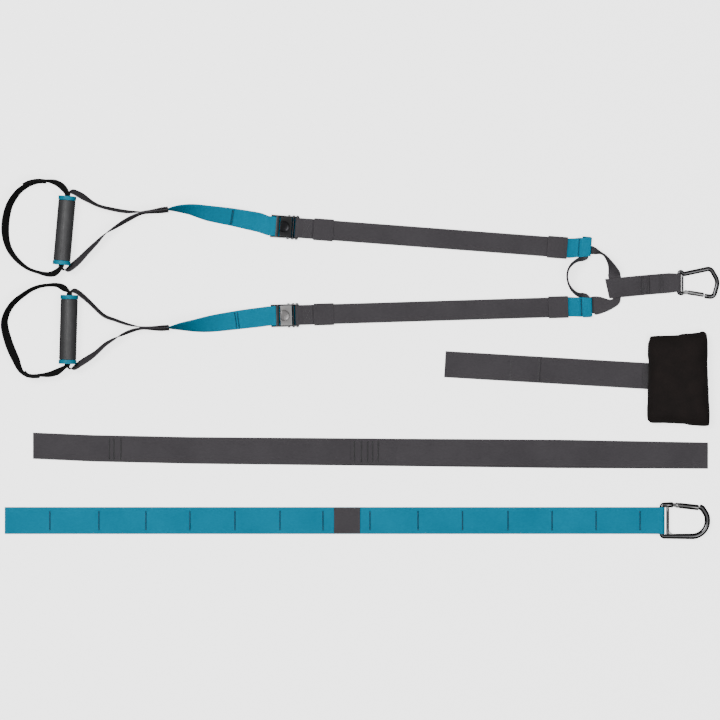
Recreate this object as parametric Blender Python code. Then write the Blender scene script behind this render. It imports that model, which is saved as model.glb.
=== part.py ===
"""Suspension trainer set, laid out flat on a floor.

Two adjustable arms hang on one equaliser ring, and an anchor strap joins the ring to a carabiner.
Beside the trainer lie its door anchor, a long extension loop and a many-looped ladder strap with
a D-shaped carabiner. Metres, +Z up, the floor at z = 0, +X towards the carabiners.
"""
import math

import bmesh
import bpy
from mathutils import Matrix, Vector

MM = 0.001

# Places read from the photograph are pixels of its 720 x 720 frame.
PIXEL = 1.9 * MM
MIDDLE_PIXELS = (360.5, 358.9)

# Webbing
WEBBING = 1.8 * MM
PLY_GAP = 0.3 * MM
PLY = WEBBING + PLY_GAP
MAIN_WIDTH = 38 * MM
TAIL_WIDTH = 37 * MM
HAND_WIDTH = 25 * MM
RING_WIDTH = 32 * MM
WIDE_WIDTH = 50 * MM
BEND_STEP = 12

# Grip
GRIP_LENGTH = 131 * MM
GRIP_RADIUS = 17 * MM
SLEEVE_RADIUS = 16.2 * MM
CORE_RADIUS = 14.6 * MM
BORE_RADIUS = 13.2 * MM
RING_LENGTH = 8 * MM
RING_LIP = 1.5 * MM
RUNNING_GAP = 0.3 * MM
ROUND_STEPS = 24

# Straps through a grip: how far beside its axis, and at which shares of its length they are set
SIDE_PLY_SHARE = 0.65
GRIP_SHARES = (-0.015, 0.04, 0.5, 0.96, 1.015)
HANDLE_REACH = 135 * MM

# Arm, measured along its strap from the cam axle
NEAR_KEEPER = 48 * MM
FAR_KEEPER = 493.5 * MM
KEEPER_LENGTH = 37.5 * MM
KEEPER_WALL = 1.5 * MM
KEEPER_CORNER = 1.2 * MM
KEEPER_END = FAR_KEEPER + KEEPER_LENGTH
STITCH_INSET = 2.5 * MM
RETURN_END = NEAR_KEEPER - STITCH_INSET
RETURN_RISE = 12 * MM
MAIN_END = KEEPER_END - STITCH_INSET
TAIL_SPACE = 15.5 * MM
TAIL_END = FAR_KEEPER - TAIL_SPACE

# Teal loop on the arm's far end
LOOP_LAP = 34 * MM
LOOP_START = KEEPER_END - LOOP_LAP
LOOP_REACH = 45.5 * MM
LOOP_END = KEEPER_END + LOOP_REACH
LOOP_EYE = 24 * MM
LOOP_STITCH = LOOP_END - LOOP_EYE
LOOP_TUCK = 4 * MM
# How much of the tuck each place of a ring loop has, from its start.
TUCK_SHARES = (0.0, 0.0, 0.5, 1.0, 1.0, 0.9, 0.7, 0.4, 0.2)
EYE_GAP = 0.5 * MM
UPPER_SKEW = 6 * MM
LOWER_SKEW = -2.4 * MM

# Cam buckle
PLATE = 1.5 * MM
BUCKLE_FRONT = 34 * MM
BUCKLE_BACK = 19.5 * MM
BUCKLE_INSIDE = 40 * MM
WALL = 1.5 * MM
BRACKET_HEIGHT = 7 * MM
WALL_HEIGHT = 11.6 * MM
AXLE_HEIGHT = 8.5 * MM
AXLE_RADIUS = 1.75 * MM
GUIDE_AT = 8.9 * MM
GUIDE_HEIGHT = 8.2 * MM
GUIDE_RADIUS = 1.9 * MM
BAR_AT = 16 * MM
BAR_RADIUS = 1.5 * MM
PIN_GAP = 0.15 * MM
HEAD_RADIUS = 2.6 * MM
HEAD_LENGTH = 1.5 * MM
BRIDGE_CLEARANCE = 1.7 * MM
BRIDGE_LENGTH = 6 * MM
BRIDGE_GAP = 0.8 * MM
LEVER_WIDTH = 38 * MM
LEVER_LENGTH = 16.5 * MM
LEVER_BACK = 6 * MM
LEVER_PLATE = 2 * MM
LEVER_RISE = 4.8 * MM
DRUM_RADIUS = 3.8 * MM
NOSE_RADIUS = 4.7 * MM
SPRING_WIRE = 0.4 * MM
SPRING_COIL = 3.1 * MM
SPRING_TURNS = 5
SPRING_PITCH = 1.1 * MM
SPRING_SLOT = 9 * MM

# Ring and anchor strap
BUNCH_WIDTH = 14 * MM
BUNCH = 3 * MM
ANCHOR_LENGTH = 135.5 * MM
ANCHOR_SHIFT = -11.5 * MM
ANCHOR_CURVE = 1.25
ANCHOR_SLANT = -0.22
ANCHOR_BAR_WIDTH = 35 * MM
ANCHOR_LAP = 54.7 * MM
ANCHOR_EYE = 20 * MM
ANCHOR_INNER = 33 * MM
ANCHOR_STEP = 12 * MM
RING_EYE = 24.5 * MM

# Carabiners. Shares along are of the length, and shares across of half the strap bar.
SLOT_GAP = 0.8 * MM
TANG = 3 * MM
TANG_GAP = 0.4 * MM
GATE_PIN = 1.2 * MM
GATE_BORE = 2 * MM
GATE_WIRE = 0.3 * MM
GATE_SPRING = 12 * MM
GATE_TURNS = 7
LADDER_WIDTH = 51 * MM
HOOK = {
    "length": 74.8 * MM, "strap": ANCHOR_BAR_WIDTH, "radius": 3.1 * MM, "gate_radius": 3.6 * MM,
    "rib_radius": 1.9 * MM, "rib_share": 0.1016, "reach_share": 0.9346,
    "hinge_shares": (0.1885, -0.8505), "tip_shares": (0.6444, -1.0561),
    "frame_shares": (
        (0.6631, -1.229, 0.0), (0.9291, -1.3084, 0.3738), (1.0, 0.0935, 1.028), (0.8422, 1.229, 0.4206),
        (0.0, 1.0, 0.1589), (0.0, -1.0, 0.1589), (0.1003, -0.9533, 0.0)),
}
DEE = {
    "length": 89.5 * MM, "strap": LADDER_WIDTH, "radius": 4 * MM, "gate_radius": 4.4 * MM,
    "rib_radius": 1.9 * MM, "rib_share": 0.1274, "reach_share": 0.9736,
    "hinge_shares": (0.3307, 0.9604), "tip_shares": (0.7888, 0.7657),
    "frame_shares": (
        (0.8089, 0.7558, 0.0), (0.8771, 0.7261, 0.1485), (1.0, 0.297, 0.396), (0.9441, -1.0231, 0.7261),
        (0.0, -1.0231, 0.1485), (0.0, 1.0033, 0.1485), (0.229, 1.0033, 0.0)),
}

# Door anchor
DOOR_LAP = 181 * MM
DOOR_RISE = 58 * MM
DOOR_RISE_SHARE = 0.48
DOOR_LIFT_SHARE = 0.35
CUSHION_HEIGHT = 44 * MM
SEAM_HEIGHT = 13 * MM
SEAM_BACK = 2.6 * MM
PULL_IN = 4.5 * MM
CORNER_PULL = 4 * MM
CUSHION_ROWS = 16
CUSHION_COLUMNS = 12

# Ladder strap
PATCH = 1.2 * MM
PATCH_WIDTH = 49 * MM

FLOOR_LIFT = 0.05 * MM
ZERO = Vector((0.0, 0.0, 0.0))
UP = Vector((0.0, 0.0, 1.0))
ALONG = Vector((1.0, 0.0, 0.0))
ACROSS = Vector((0.0, 1.0, 0.0))

# Where the pieces lie
ARMS = {
    "upper": {"axle_pixels": (288.5, 227.2), "angle": -0.075, "skew": UPPER_SKEW},
    "lower": {"axle_pixels": (288.8, 315.4), "angle": 0.0305, "skew": LOWER_SKEW},
}
LOOP_END_PIXELS = 303.42
HANG_PIXELS = (678.3, 282.6)
DOOR_PIXELS = ((444.8, 364.2), (650.1, 376.2))
CUSHION_PIXELS = ((648.4, 336.0), (706.6, 331.4), (709.2, 426.0), (646.9, 421.6))
EXTENSION_START_PIXELS = (33.0, 445.7)
EXTENSION_END_PIXELS = (708.0, 455.6)
SPLICE_PIXELS = ((350.6, 451.4), (386.0, 451.7))
UPPER_PLY_PIXELS = ((396.0, 451.8), (560.0, 452.8))
LOWER_PLY_PIXELS = ((560.0, 455.0), (350.0, 452.4), (192.0, 450.6), (93.0, 448.4))
RETURN_PLY_PIXELS = ((93.0, 448.2), (192.0, 450.2), (350.0, 451.4), (382.0, 451.7))
LADDER_END_PIXELS = (661.4, 520.5)
LADDER_PIXELS = ((4.8, 520.5), (645.0, 520.5))
PATCH_PIXELS = ((334.0, 520.5), (360.0, 520.5))

# Straps of the handles: pixel x, pixel y, lean in degrees and plies off the line to the left
HANDLES = {
    "upper": {
        "grip_pixels": ((67.9, 196.2), (61.9, 264.9)),
        "loop_start_pixels": (
            (46.5, 181.6, -8, 0.6), (38.0, 181.4, -12, 0.6), (29.5, 183.6, -17, 0.6), (24.4, 186.5, -19, 0.6),
            (19.0, 191.0, -20, 0.3), (9.8, 205.2, -24, 0), (5.5, 228.0, -26, 0), (8.1, 245.4, -14, 0),
            (15.2, 257.4, -12, 0), (27.8, 268.3, -5, 0), (39.0, 272.4, -5, 0), (48.0, 274.4, -14, 0),
            (55.0, 273.2, -28, 0), (60.2, 268.8, -16, 0)),
        "loop_end_pixels": (
            (66.4, 191.6, -14, 0), (62.0, 186.4, -30, 0), (55.5, 182.6, -22, 0), (46.5, 181.6, -8, -0.6),
            (38.0, 181.4, -12, -0.6), (29.5, 183.6, -17, -0.6), (24.4, 186.5, -19, -0.6)),
        "hand_start_pixels": (
            (168.5, 209.5, 0, -1), (161.0, 210.5, 0, -1), (153.0, 211.6, 0, -0.6), (145.0, 212.5, 0, -0.52),
            (138.4, 212.6, 6, -0.52), (127.6, 211.9, 11, 0), (110.2, 208.9, 10, 0), (98.7, 205.8, 6, 0),
            (90.5, 201.6, 16, 0), (82.7, 196.6, 26, 0), (76.0, 192.9, 23, 0), (71.6, 191.6, 9, 0)),
        "hand_end_pixels": (
            (63.4, 269.2, 2, 0), (67.4, 270.0, -18, 0), (73.5, 265.6, -30, 0), (80.4, 259.4, -28, 0),
            (86.1, 253.4, -20, 0), (97.6, 241.9, -12, 0), (105.6, 233.9, 0, 0), (114.8, 227.8, 8, 0),
            (124.0, 222.0, 12, 0), (132.0, 217.6, 12, 0), (139.5, 213.9, 4, -0.3), (145.0, 212.5, 0, -0.52),
            (153.0, 211.6, 0, -0.6), (161.0, 210.5, 0, -1), (168.5, 209.5, 0, -1)),
        "teal_pixels": (
            (161.5, 210.4, 0, 0), (168.5, 209.5, 0, 0), (171.5, 209.1, 0, 0), (178.0, 208.9, 12, 0),
            (190.2, 209.6, 27, 0), (207.4, 213.2, 50, 0), (231.3, 217.0, 64, 0), (250.0, 220.6, 78, 0),
            (260.0, 222.7, 90, 0)),
    },
    "lower": {
        "grip_pixels": ((69.8, 295.2), (67.9, 363.9)),
        "loop_start_pixels": (
            (23.8, 372.4, -14, 0.6), (27.6, 375.2, -8, 0.6), (33.6, 376.2, -8, 0.6), (40.2, 375.8, -8, 0.6),
            (49.4, 374.4, -18, 0), (58.0, 371.6, -28, 0), (64.4, 367.6, -16, 0)),
        "loop_end_pixels": (
            (68.6, 291.2, -14, 0), (64.0, 288.0, -28, 0), (57.4, 285.2, -18, 0), (48.2, 285.2, -6, 0),
            (40.2, 286.4, -5, 0), (32.1, 289.4, -8, 0), (23.0, 295.3, -12, 0), (14.9, 301.8, -14, 0),
            (8.8, 309.8, -14, 0), (5.2, 319.0, -16, 0), (4.9, 326.4, -20, 0), (7.4, 337.4, -28, 0),
            (11.2, 348.6, -32, 0), (16.6, 360.6, -30, 0), (21.8, 370.4, -16, -0.6), (27.6, 375.2, -8, -0.6),
            (33.6, 376.2, -8, -0.6), (40.2, 375.8, -8, -0.6)),
        "hand_start_pixels": (
            (169.3, 327.6, 0, -1), (161.0, 328.2, 0, -1), (152.0, 328.3, 0, -0.6), (143.5, 328.0, 0, -0.52),
            (135.5, 326.5, 0, -0.4), (126.3, 323.9, 2, 0), (114.8, 319.8, 2, 0), (105.6, 316.5, 4, 0),
            (99.9, 312.1, 4, 0), (91.8, 304.1, 4, 0), (82.7, 295.9, 18, 0), (77.4, 291.9, 18, 0),
            (73.2, 290.6, 8, 0)),
        "hand_end_pixels": (
            (69.6, 368.2, 4, 0), (73.8, 368.2, -14, 0), (80.4, 363.6, -26, 0), (89.5, 357.7, -26, 0),
            (96.4, 352.7, -20, 0), (105.6, 344.3, -16, 0), (114.8, 338.7, -8, 0), (121.7, 335.1, 0, 0),
            (129.7, 331.6, 4, 0), (137.0, 329.0, 4, -0.3), (143.5, 328.0, 0, -0.52), (152.0, 328.3, 0, -0.6),
            (161.0, 328.2, 0, -1), (169.3, 327.6, 0, -1)),
        "teal_pixels": (
            (162.0, 328.1, 0, 0), (169.3, 327.6, 0, 0), (172.3, 327.4, 0, 0), (180.0, 326.6, 14, 0),
            (195.9, 325.6, 39, 0), (212.0, 323.6, 58, 0), (230.4, 321.0, 70, 0), (250.0, 318.4, 82, 0),
            (260.0, 317.2, 90, 0)),
    },
}

# Ring strap: pixel x, pixel y, lean in degrees, share of its spread from bunched to wide, and
# the plies beneath it where it lies on other webbing
RING_RIGHT_PIXELS = (
    (616.4, 297.4, -90, 0.17, 1), (616.1, 288.0, -90, 0.33, 1), (616.1, 279.4, -90, 0.44, 1),
    (616.0, 276.6, -90, 0.44, 1), (615.2, 273.4, -86, 0.44, 1), (612.2, 267.6, -62, 0.67),
    (608.2, 260.9, -34, 1), (601.6, 252.8, -22, 0.67), (596.0, 250.7, -80, 0.22), (590.8, 249.7, -90, 0),
    (587.6, 248.6, -90, 0), (585.9, 246.0, -90, 0))
RING_LEFT_PIXELS = (
    (584.2, 260.6, 86, 0, 2.15), (581.4, 263.4, 68, 0.22), (576.2, 265.6, 35, 0.56), (570.8, 268.8, 12, 1),
    (567.6, 275.2, 0, 1), (568.4, 283.0, 0, 1), (570.8, 287.6, 8, 1), (574.6, 290.0, 30, 0.67),
    (579.4, 290.0, 55, 0.39), (582.6, 291.0, 76, 0.22), (584.9, 293.2, 86, 0, 1.95))
RING_BOTTOM_PIXELS = (
    (586.8, 311.4, -90, 0), (589.2, 308.4, -90, 0.17), (593.6, 306.6, -90, 0.67), (600.0, 305.4, -90, 0.94),
    (605.8, 305.2, -90, 0.61), (610.4, 304.6, -90, 0.28, 0.48), (614.2, 303.2, -90, 0.11, 0.86),
    (616.1, 300.9, -90, 0.11, 1), (616.5, 299.0, -90, 0.11, 1))


def at(pixel_x, pixel_y, height=0.0):
    """The place of a photograph pixel on the floor, lifted by a height."""
    return Vector(((pixel_x - MIDDLE_PIXELS[0]) * PIXEL, (MIDDLE_PIXELS[1] - pixel_y) * PIXEL, height))


def finish(name, colour, roughness, metallic=0.0):
    """A plain material with a colour, a roughness and a metallic value."""
    material = bpy.data.materials.new(name)
    material.use_nodes = True
    shader = material.node_tree.nodes["Principled BSDF"]
    shader.inputs["Base Color"].default_value = (*colour, 1.0)
    shader.inputs["Roughness"].default_value = roughness
    shader.inputs["Metallic"].default_value = metallic
    return material


def make_object(name, mesh_builder, material, parent=None, smooth=False):
    """Turn a bmesh into a named object."""
    bmesh.ops.recalc_face_normals(mesh_builder, faces=mesh_builder.faces)
    if mesh_builder.calc_volume(signed=True) < 0:
        bmesh.ops.reverse_faces(mesh_builder, faces=mesh_builder.faces)
    mesh = bpy.data.meshes.new(name)
    mesh_builder.to_mesh(mesh)
    mesh_builder.free()
    if smooth:
        mesh.shade_smooth()
        mesh.set_sharp_from_angle(angle=math.radians(40))
    mesh.materials.append(material)
    made = bpy.data.objects.new(name, mesh)
    bpy.context.collection.objects.link(made)
    made.parent = parent
    return made


class Frame:
    """A place and a turn about the vertical that a group of pieces shares, held by an empty."""

    def __init__(self, name, place, angle=0.0, tilt=0.0, parent=None):
        self.empty = bpy.data.objects.new(name, None)
        bpy.context.collection.objects.link(self.empty)
        self.empty.location = place
        self.empty.rotation_euler = (0.0, tilt, angle)
        self.empty.parent = parent
        self.matrix = Matrix.Translation(place) @ Matrix.Rotation(angle, 4, "Z") @ Matrix.Rotation(tilt, 4, "Y")

    def point(self, along, across, height):
        return self.matrix @ Vector((along, across, height))

    def turn(self, vector):
        return self.matrix.to_3x3() @ vector


def smooth(stations, closed=False):
    """A fine run of stations through a few: a centripetal curve, thinned where it is straight."""
    rows = [(*point, *across, width, thickness) for point, across, width, thickness in stations]
    rows = [Vector(row) for row in rows]
    count = len(rows)
    if not closed:
        rows = [rows[0] * 2 - rows[1]] + rows + [rows[-1] * 2 - rows[-2]]
    fine = []
    for index in range(count if closed else count - 1):
        near = [rows[(index - 1 + step) % count] if closed else rows[index + step] for step in range(4)]
        gaps = [math.sqrt(max((near[k + 1] - near[k]).to_3d().length, WEBBING)) for k in range(3)]
        knots = [0.0, gaps[0], gaps[0] + gaps[1], sum(gaps)]
        parts = max(2, math.ceil((near[2] - near[1]).to_3d().length / WEBBING))
        for part in range(parts):
            knot = knots[1] + gaps[1] * part / parts
            level = near
            for reach in (1, 2, 3):
                level = [
                    level[k].lerp(level[k + 1], (knot - knots[k]) / (knots[k + reach] - knots[k]))
                    for k in range(len(level) - 1)
                ]
            fine.append((level[0], part == 0))
    if not closed:
        fine.append((rows[-2], True))
    return thinned([(unpacked(row), set_out) for row, set_out in fine])


def unpacked(row):
    """A station from a row of numbers, raised until its lowest edge is on the floor."""
    point, across, width, thickness = Vector(row[0:3]), Vector(row[3:6]).normalized(), row[6], row[7]
    reach = (abs(across.z) * width + math.sqrt(max(0.0, 1 - across.z ** 2)) * thickness) / 2
    point.z = max(point.z, reach + FLOOR_LIFT)
    return (point, across, width, thickness)


def thinned(stations):
    """Leave out the stations, other than those set out, where a strap hardly bends or twists."""
    kept = [stations[0][0]]
    turned_by = 0.0
    for index in range(1, len(stations) - 1):
        (before, _), (here, set_out), (after, _) = stations[index - 1:index + 2]
        bend = (here[0] - before[0]).angle(after[0] - here[0], 0.0)
        turned_by += bend + before[1].angle(here[1], 0.0)
        if set_out or turned_by > math.radians(BEND_STEP):
            kept.append(here)
            turned_by = 0.0
    kept.append(stations[-1][0])
    return kept


def band(name, stations, material, parent=None, closed=False):
    """Webbing swept through stations of a place, a width direction, a width and a thickness."""
    made = bmesh.new()
    rings = []
    count = len(stations)
    for index, (point, across, width, thickness) in enumerate(stations):
        before = stations[index - 1][0] if index or closed else point
        after = stations[(index + 1) % count][0] if index + 1 < count or closed else point
        into, out = (way - across * way.dot(across) for way in (point - before, after - point))
        tangent = (into.normalized() + out.normalized()).normalized()
        mitre = math.cos(into.angle(out, 0.0) / 2) if into.length and out.length else 1.0
        half = across * width / 2
        deep = tangent.cross(across).normalized() * thickness / 2 / max(mitre, 0.7)
        corners = (half + deep, deep - half, -half - deep, half - deep)
        rings.append([made.verts.new(point + corner) for corner in corners])
    pairs = list(zip(rings, rings[1:] + rings[:1])) if closed else list(zip(rings, rings[1:]))
    for ring, following in pairs:
        for side in range(4):
            nearby = (side + 1) % 4
            made.faces.new((ring[side], ring[nearby], following[nearby], following[side]))
    if not closed:
        made.faces.new(rings[0])
        made.faces.new(rings[-1])
    return make_object(name, made, material, parent)


def standing(places, width, hold):
    """Stations for webbing on the floor that follows a grip.

    Each place is a pixel, a lean in degrees from standing on edge towards the strap's left, and
    a number of plies by which the strap lies off the line of pixels, towards its left.
    """
    points = [hold.place(place[0], place[1]) for place in places]
    stations = []
    for index, (_, _, lean, plies) in enumerate(places):
        before = points[max(index - 1, 0)]
        after = points[min(index + 1, len(points) - 1)]
        left = UP.cross(after - before).normalized()
        lean = math.radians(lean)
        height = (width * math.cos(lean) + WEBBING * abs(math.sin(lean))) / 2
        point = points[index] + left * plies * PLY + UP * height
        stations.append((point, UP * math.cos(lean) + left * math.sin(lean), width, WEBBING))
    return stations


def flat(outline, width, thickness=WEBBING):
    """Stations for a strap seen from its side: places along, height and shift sideways."""
    return [(Vector((along, shift, height)), ACROSS, width, thickness) for along, height, shift in outline]


def fold(along, height, radius, first, last, shift=0.0, steps=6):
    """Places round a fold about one centre, from one angle in degrees to another.

    The first and last places lie on the radius, and those between lie outside it, so that the
    straight steps touch the radius and never cut into it.
    """
    outer = radius / math.cos(math.radians(last - first) / steps / 2)
    places = []
    for share in [0.0] + [(step + 0.5) / steps for step in range(steps)] + [1.0]:
        angle = math.radians(first + (last - first) * share)
        reach = radius if share in (0.0, 1.0) else outer
        places.append((along + reach * math.cos(angle), height + reach * math.sin(angle), shift))
    return places


def turned(name, profile, material, hollow=False, parent=None, direction="Y", steps=ROUND_STEPS):
    """A profile of (along, radius) turned about an axis, closed on itself where it is hollow."""
    made = bmesh.new()
    rings = []
    for along, radius in profile:
        if radius == 0.0:
            rings.append([made.verts.new((0.0, along, 0.0))])
            continue
        ring = []
        for step in range(steps):
            angle = math.tau * step / steps
            ring.append(made.verts.new((radius * math.cos(angle), along, radius * math.sin(angle))))
        rings.append(ring)
    pairs = list(zip(rings, rings[1:] + rings[:1])) if hollow else list(zip(rings, rings[1:]))
    for ring, following in pairs:
        for step in range(steps):
            nearby = (step + 1) % steps
            corners = [ring[step], ring[nearby]] if len(ring) > 1 else [ring[0]]
            corners += [following[nearby], following[step]] if len(following) > 1 else [following[0]]
            made.faces.new(corners)
    if direction == "X":
        bmesh.ops.rotate(made, verts=made.verts, cent=ZERO, matrix=Matrix.Rotation(-math.pi / 2, 3, "Z"))
    if direction == "Z":
        bmesh.ops.rotate(made, verts=made.verts, cent=ZERO, matrix=Matrix.Rotation(math.pi / 2, 3, "X"))
    return make_object(name, made, material, parent, smooth=True)


def tube(name, points, radius, material, parent=None, sides=10):
    """A round bar or wire along points."""
    made = bmesh.new()
    rings = []
    normal = None
    for index, point in enumerate(points):
        before = points[max(index - 1, 0)]
        after = points[min(index + 1, len(points) - 1)]
        tangent = (after - before).normalized()
        if normal is None:
            normal = tangent.orthogonal().normalized()
        normal = (normal - tangent * normal.dot(tangent)).normalized()
        other = tangent.cross(normal)
        ring = []
        for side in range(sides):
            angle = math.tau * (side + 0.5) / sides
            ring.append(made.verts.new(point + (normal * math.cos(angle) + other * math.sin(angle)) * radius))
        rings.append(ring)
    for ring, following in zip(rings, rings[1:]):
        for side in range(sides):
            nearby = (side + 1) % sides
            made.faces.new((ring[side], ring[nearby], following[nearby], following[side]))
    made.faces.new(rings[0])
    made.faces.new(rings[-1])
    return make_object(name, made, material, parent, smooth=True)


def block(name, low, high, material, parent=None):
    """A box between two corners."""
    made = bmesh.new()
    bmesh.ops.create_cube(made, size=1.0)
    for vertex in made.verts:
        vertex.co = Vector([low[k] if vertex.co[k] < 0 else high[k] for k in range(3)])
    return make_object(name, made, material, parent)


def extruded(name, outline, width, material, parent=None):
    """An outline of (along, height) extruded evenly to both sides."""
    made = bmesh.new()
    face = made.faces.new([made.verts.new((along, -width / 2, height)) for along, height in outline])
    moved = bmesh.ops.extrude_face_region(made, geom=[face])
    corners = [item for item in moved["geom"] if isinstance(item, bmesh.types.BMVert)]
    bmesh.ops.translate(made, verts=corners, vec=ACROSS * width)
    return make_object(name, made, material, parent)


def combine(target, tool, operation):
    """Join a tool to a piece, or cut it out of the piece."""
    tool.hide_render = True
    tool.display_type = "WIRE"
    change = target.modifiers.new(operation.lower(), "BOOLEAN")
    change.operation = operation
    change.object = tool


def rounded(corners, step=12):
    """A path through corners of (x, y, radius), each corner turned into an arc."""
    path = [Vector((*corners[0][0:2], 0.0))]
    for before, here, after in zip(corners, corners[1:], corners[2:]):
        corner = Vector((*here[0:2], 0.0))
        into = (corner - Vector((*before[0:2], 0.0))).normalized()
        out = (Vector((*after[0:2], 0.0)) - corner).normalized()
        turn = into.angle(out)
        sense = 1 if into.cross(out).z > 0 else -1
        start = corner - into * here[2] * math.tan(turn / 2)
        centre = start + UP.cross(into) * here[2] * sense
        parts = max(2, math.ceil(math.degrees(turn) / step))
        for part in range(parts + 1):
            swing = Matrix.Rotation(sense * turn * part / parts, 3, "Z")
            path.append(centre + swing @ (start - centre))
    path.append(Vector((*corners[-1][0:2], 0.0)))
    return path


class Hold:
    """Where a hand grip lies, and how the straps about it follow its length."""

    def __init__(self, grip_pixels):
        top, bottom = [at(*pixel) for pixel in grip_pixels]
        self.middle = (top + bottom) / 2
        self.axis = (top - bottom).normalized()
        self.seen = (top - bottom).length / 2
        self.added = GRIP_LENGTH / 2 - self.seen
        self.top = self.middle + self.axis * GRIP_LENGTH / 2
        self.bottom = self.middle - self.axis * GRIP_LENGTH / 2

    def place(self, pixel_x, pixel_y):
        """The place of a pixel, moved with the grip's nearer end, the less the farther it lies."""
        point = at(pixel_x, pixel_y)
        along = self.axis.dot(point - self.middle)
        away = (point - self.middle - self.axis * along).length
        share = max(-1.0, min(1.0, along / self.seen)) * max(0.0, 1 - away / HANDLE_REACH)
        return point + self.axis * self.added * share

    def stations(self, downwards):
        """Stations of hand webbing straight through the grip, beside its axis."""
        start, end = (self.top, self.bottom) if downwards else (self.bottom, self.top)
        left = UP.cross(end - start).normalized()
        aside = left * SIDE_PLY_SHARE * PLY + UP * GRIP_RADIUS
        return [(start.lerp(end, share) + aside, UP, HAND_WIDTH, WEBBING) for share in GRIP_SHARES]


def grip(arm, hold):
    """A hand grip: a core tube, a sleeve round it and a ring on each end, free to spin."""
    leaning = hold.axis.to_2d().angle_signed(Vector((0.0, 1.0)))
    axis = Frame(arm + "_grip_axis", hold.middle + UP * GRIP_RADIUS, leaning)
    half = GRIP_LENGTH / 2
    core_half = half - RING_LIP - RUNNING_GAP
    sleeve_half = half - RING_LENGTH - RUNNING_GAP
    seat = CORE_RADIUS + RUNNING_GAP
    core = [(-core_half, BORE_RADIUS), (core_half, BORE_RADIUS), (core_half, CORE_RADIUS),
            (-core_half, CORE_RADIUS)]
    turned(arm + "_grip_core", core, BLACK_PLASTIC, True, axis.empty)
    sleeve = [(-sleeve_half, seat), (sleeve_half, seat), (sleeve_half, SLEEVE_RADIUS),
              (-sleeve_half, SLEEVE_RADIUS)]
    turned(arm + "_grip_sleeve", sleeve, GRIP_RUBBER, True, axis.empty)
    ring = [(half, BORE_RADIUS), (half, GRIP_RADIUS - RING_LIP / 2), (half - RING_LIP / 2, GRIP_RADIUS),
            (half - RING_LENGTH, GRIP_RADIUS), (half - RING_LENGTH, seat), (half - RING_LIP, seat),
            (half - RING_LIP, BORE_RADIUS)]
    turned(arm + "_grip_top_ring", ring, TEAL_PLASTIC, True, axis.empty)
    mirrored = [(-along, radius) for along, radius in reversed(ring)]
    turned(arm + "_grip_bottom_ring", mirrored, TEAL_PLASTIC, True, axis.empty)


def handle(arm, frame, hold, places):
    """The foot loop, the hand strap and the adjusting strap that carries them."""
    loop = standing(places["loop_start_pixels"], HAND_WIDTH, hold) + hold.stations(False)
    loop += standing(places["loop_end_pixels"], HAND_WIDTH, hold)
    band(arm + "_foot_loop", smooth(loop), FOOT_WEBBING)
    hand = standing(places["hand_start_pixels"], HAND_WIDTH, hold) + hold.stations(True)
    hand += standing(places["hand_end_pixels"], HAND_WIDTH, hold)
    band(arm + "_hand_strap", smooth(hand), DARK_WEBBING)
    level = PLATE + PLY_GAP + WEBBING / 2
    tail = [(frame.point(along, 0.0, level), frame.turn(ACROSS), TAIL_WIDTH, WEBBING)
            for along in (-BUCKLE_FRONT - 2 * PLY, 2 * PLY - BUCKLE_FRONT, 0.0, TAIL_END)]
    teal = standing(places["teal_pixels"], TAIL_WIDTH, hold)
    band(arm + "_adjusting_strap", smooth(teal + tail), TEAL_WEBBING)


def buckle(arm, frame):
    """A cam buckle: a channel frame bridged in front, three pins, a sprung cam lever on the first."""
    outside = BUCKLE_INSIDE + 2 * WALL
    walls = [(-BUCKLE_FRONT, 0.0), (BUCKLE_BACK, 0.0), (BUCKLE_BACK, AXLE_HEIGHT),
             (BUCKLE_BACK - WALL, WALL_HEIGHT), (-HEAD_RADIUS * 2, WALL_HEIGHT),
             (-LEVER_LENGTH, BRACKET_HEIGHT), (WALL - BUCKLE_FRONT, BRACKET_HEIGHT),
             (-BUCKLE_FRONT, BRACKET_HEIGHT - WALL)]
    body = extruded(arm + "_buckle_frame", walls, outside, BUCKLE_METAL, frame.empty)
    inner = BUCKLE_INSIDE / 2
    channel = block(arm + "_channel_cutter", (-BUCKLE_FRONT * 2, -inner, PLATE),
                    (BUCKLE_BACK * 2, inner, WALL_HEIGHT * 2), BUCKLE_METAL, frame.empty)
    combine(body, channel, "DIFFERENCE")
    over_strap = PLATE + PLY_GAP + WEBBING + BRIDGE_GAP
    back = -LEVER_LENGTH - BRIDGE_CLEARANCE
    bridge = block(arm + "_bridge", (back - BRIDGE_LENGTH, -inner - WALL / 2, over_strap),
                   (back, inner + WALL / 2, over_strap + PLATE), BUCKLE_METAL, frame.empty)
    combine(body, bridge, "UNION")
    pins = (("cam_axle", 0.0, AXLE_HEIGHT, AXLE_RADIUS), ("guide_bar", GUIDE_AT, GUIDE_HEIGHT, GUIDE_RADIUS),
            ("strap_bar", BAR_AT, main_bar_height(), BAR_RADIUS))
    for name, along, height, radius in pins:
        place = Vector((along, 0.0, height))
        reach = outside / 2 + PIN_GAP
        profile = [(-reach - HEAD_LENGTH, 0.0), (-reach - HEAD_LENGTH, HEAD_RADIUS), (-reach, HEAD_RADIUS),
                   (-reach, radius), (reach, radius), (reach, HEAD_RADIUS), (reach + HEAD_LENGTH, HEAD_RADIUS),
                   (reach + HEAD_LENGTH, 0.0)]
        pin = turned(f"{arm}_{name}", profile, BUCKLE_METAL, parent=frame.empty, steps=16)
        pin.location = place
        hole = [(-outside, 0.0), (-outside, radius + PIN_GAP), (outside, radius + PIN_GAP), (outside, 0.0)]
        drill = turned(f"{arm}_{name}_drill", hole, BUCKLE_METAL, parent=frame.empty, steps=16)
        drill.location = place
        combine(body, drill, "DIFFERENCE")
    lever(arm, frame)


def main_bar_height():
    """The strap bar's height: over the tail, then the strap's lower ply."""
    return PLATE + PLY_GAP + WEBBING + PLY + PLY_GAP + BAR_RADIUS


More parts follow.
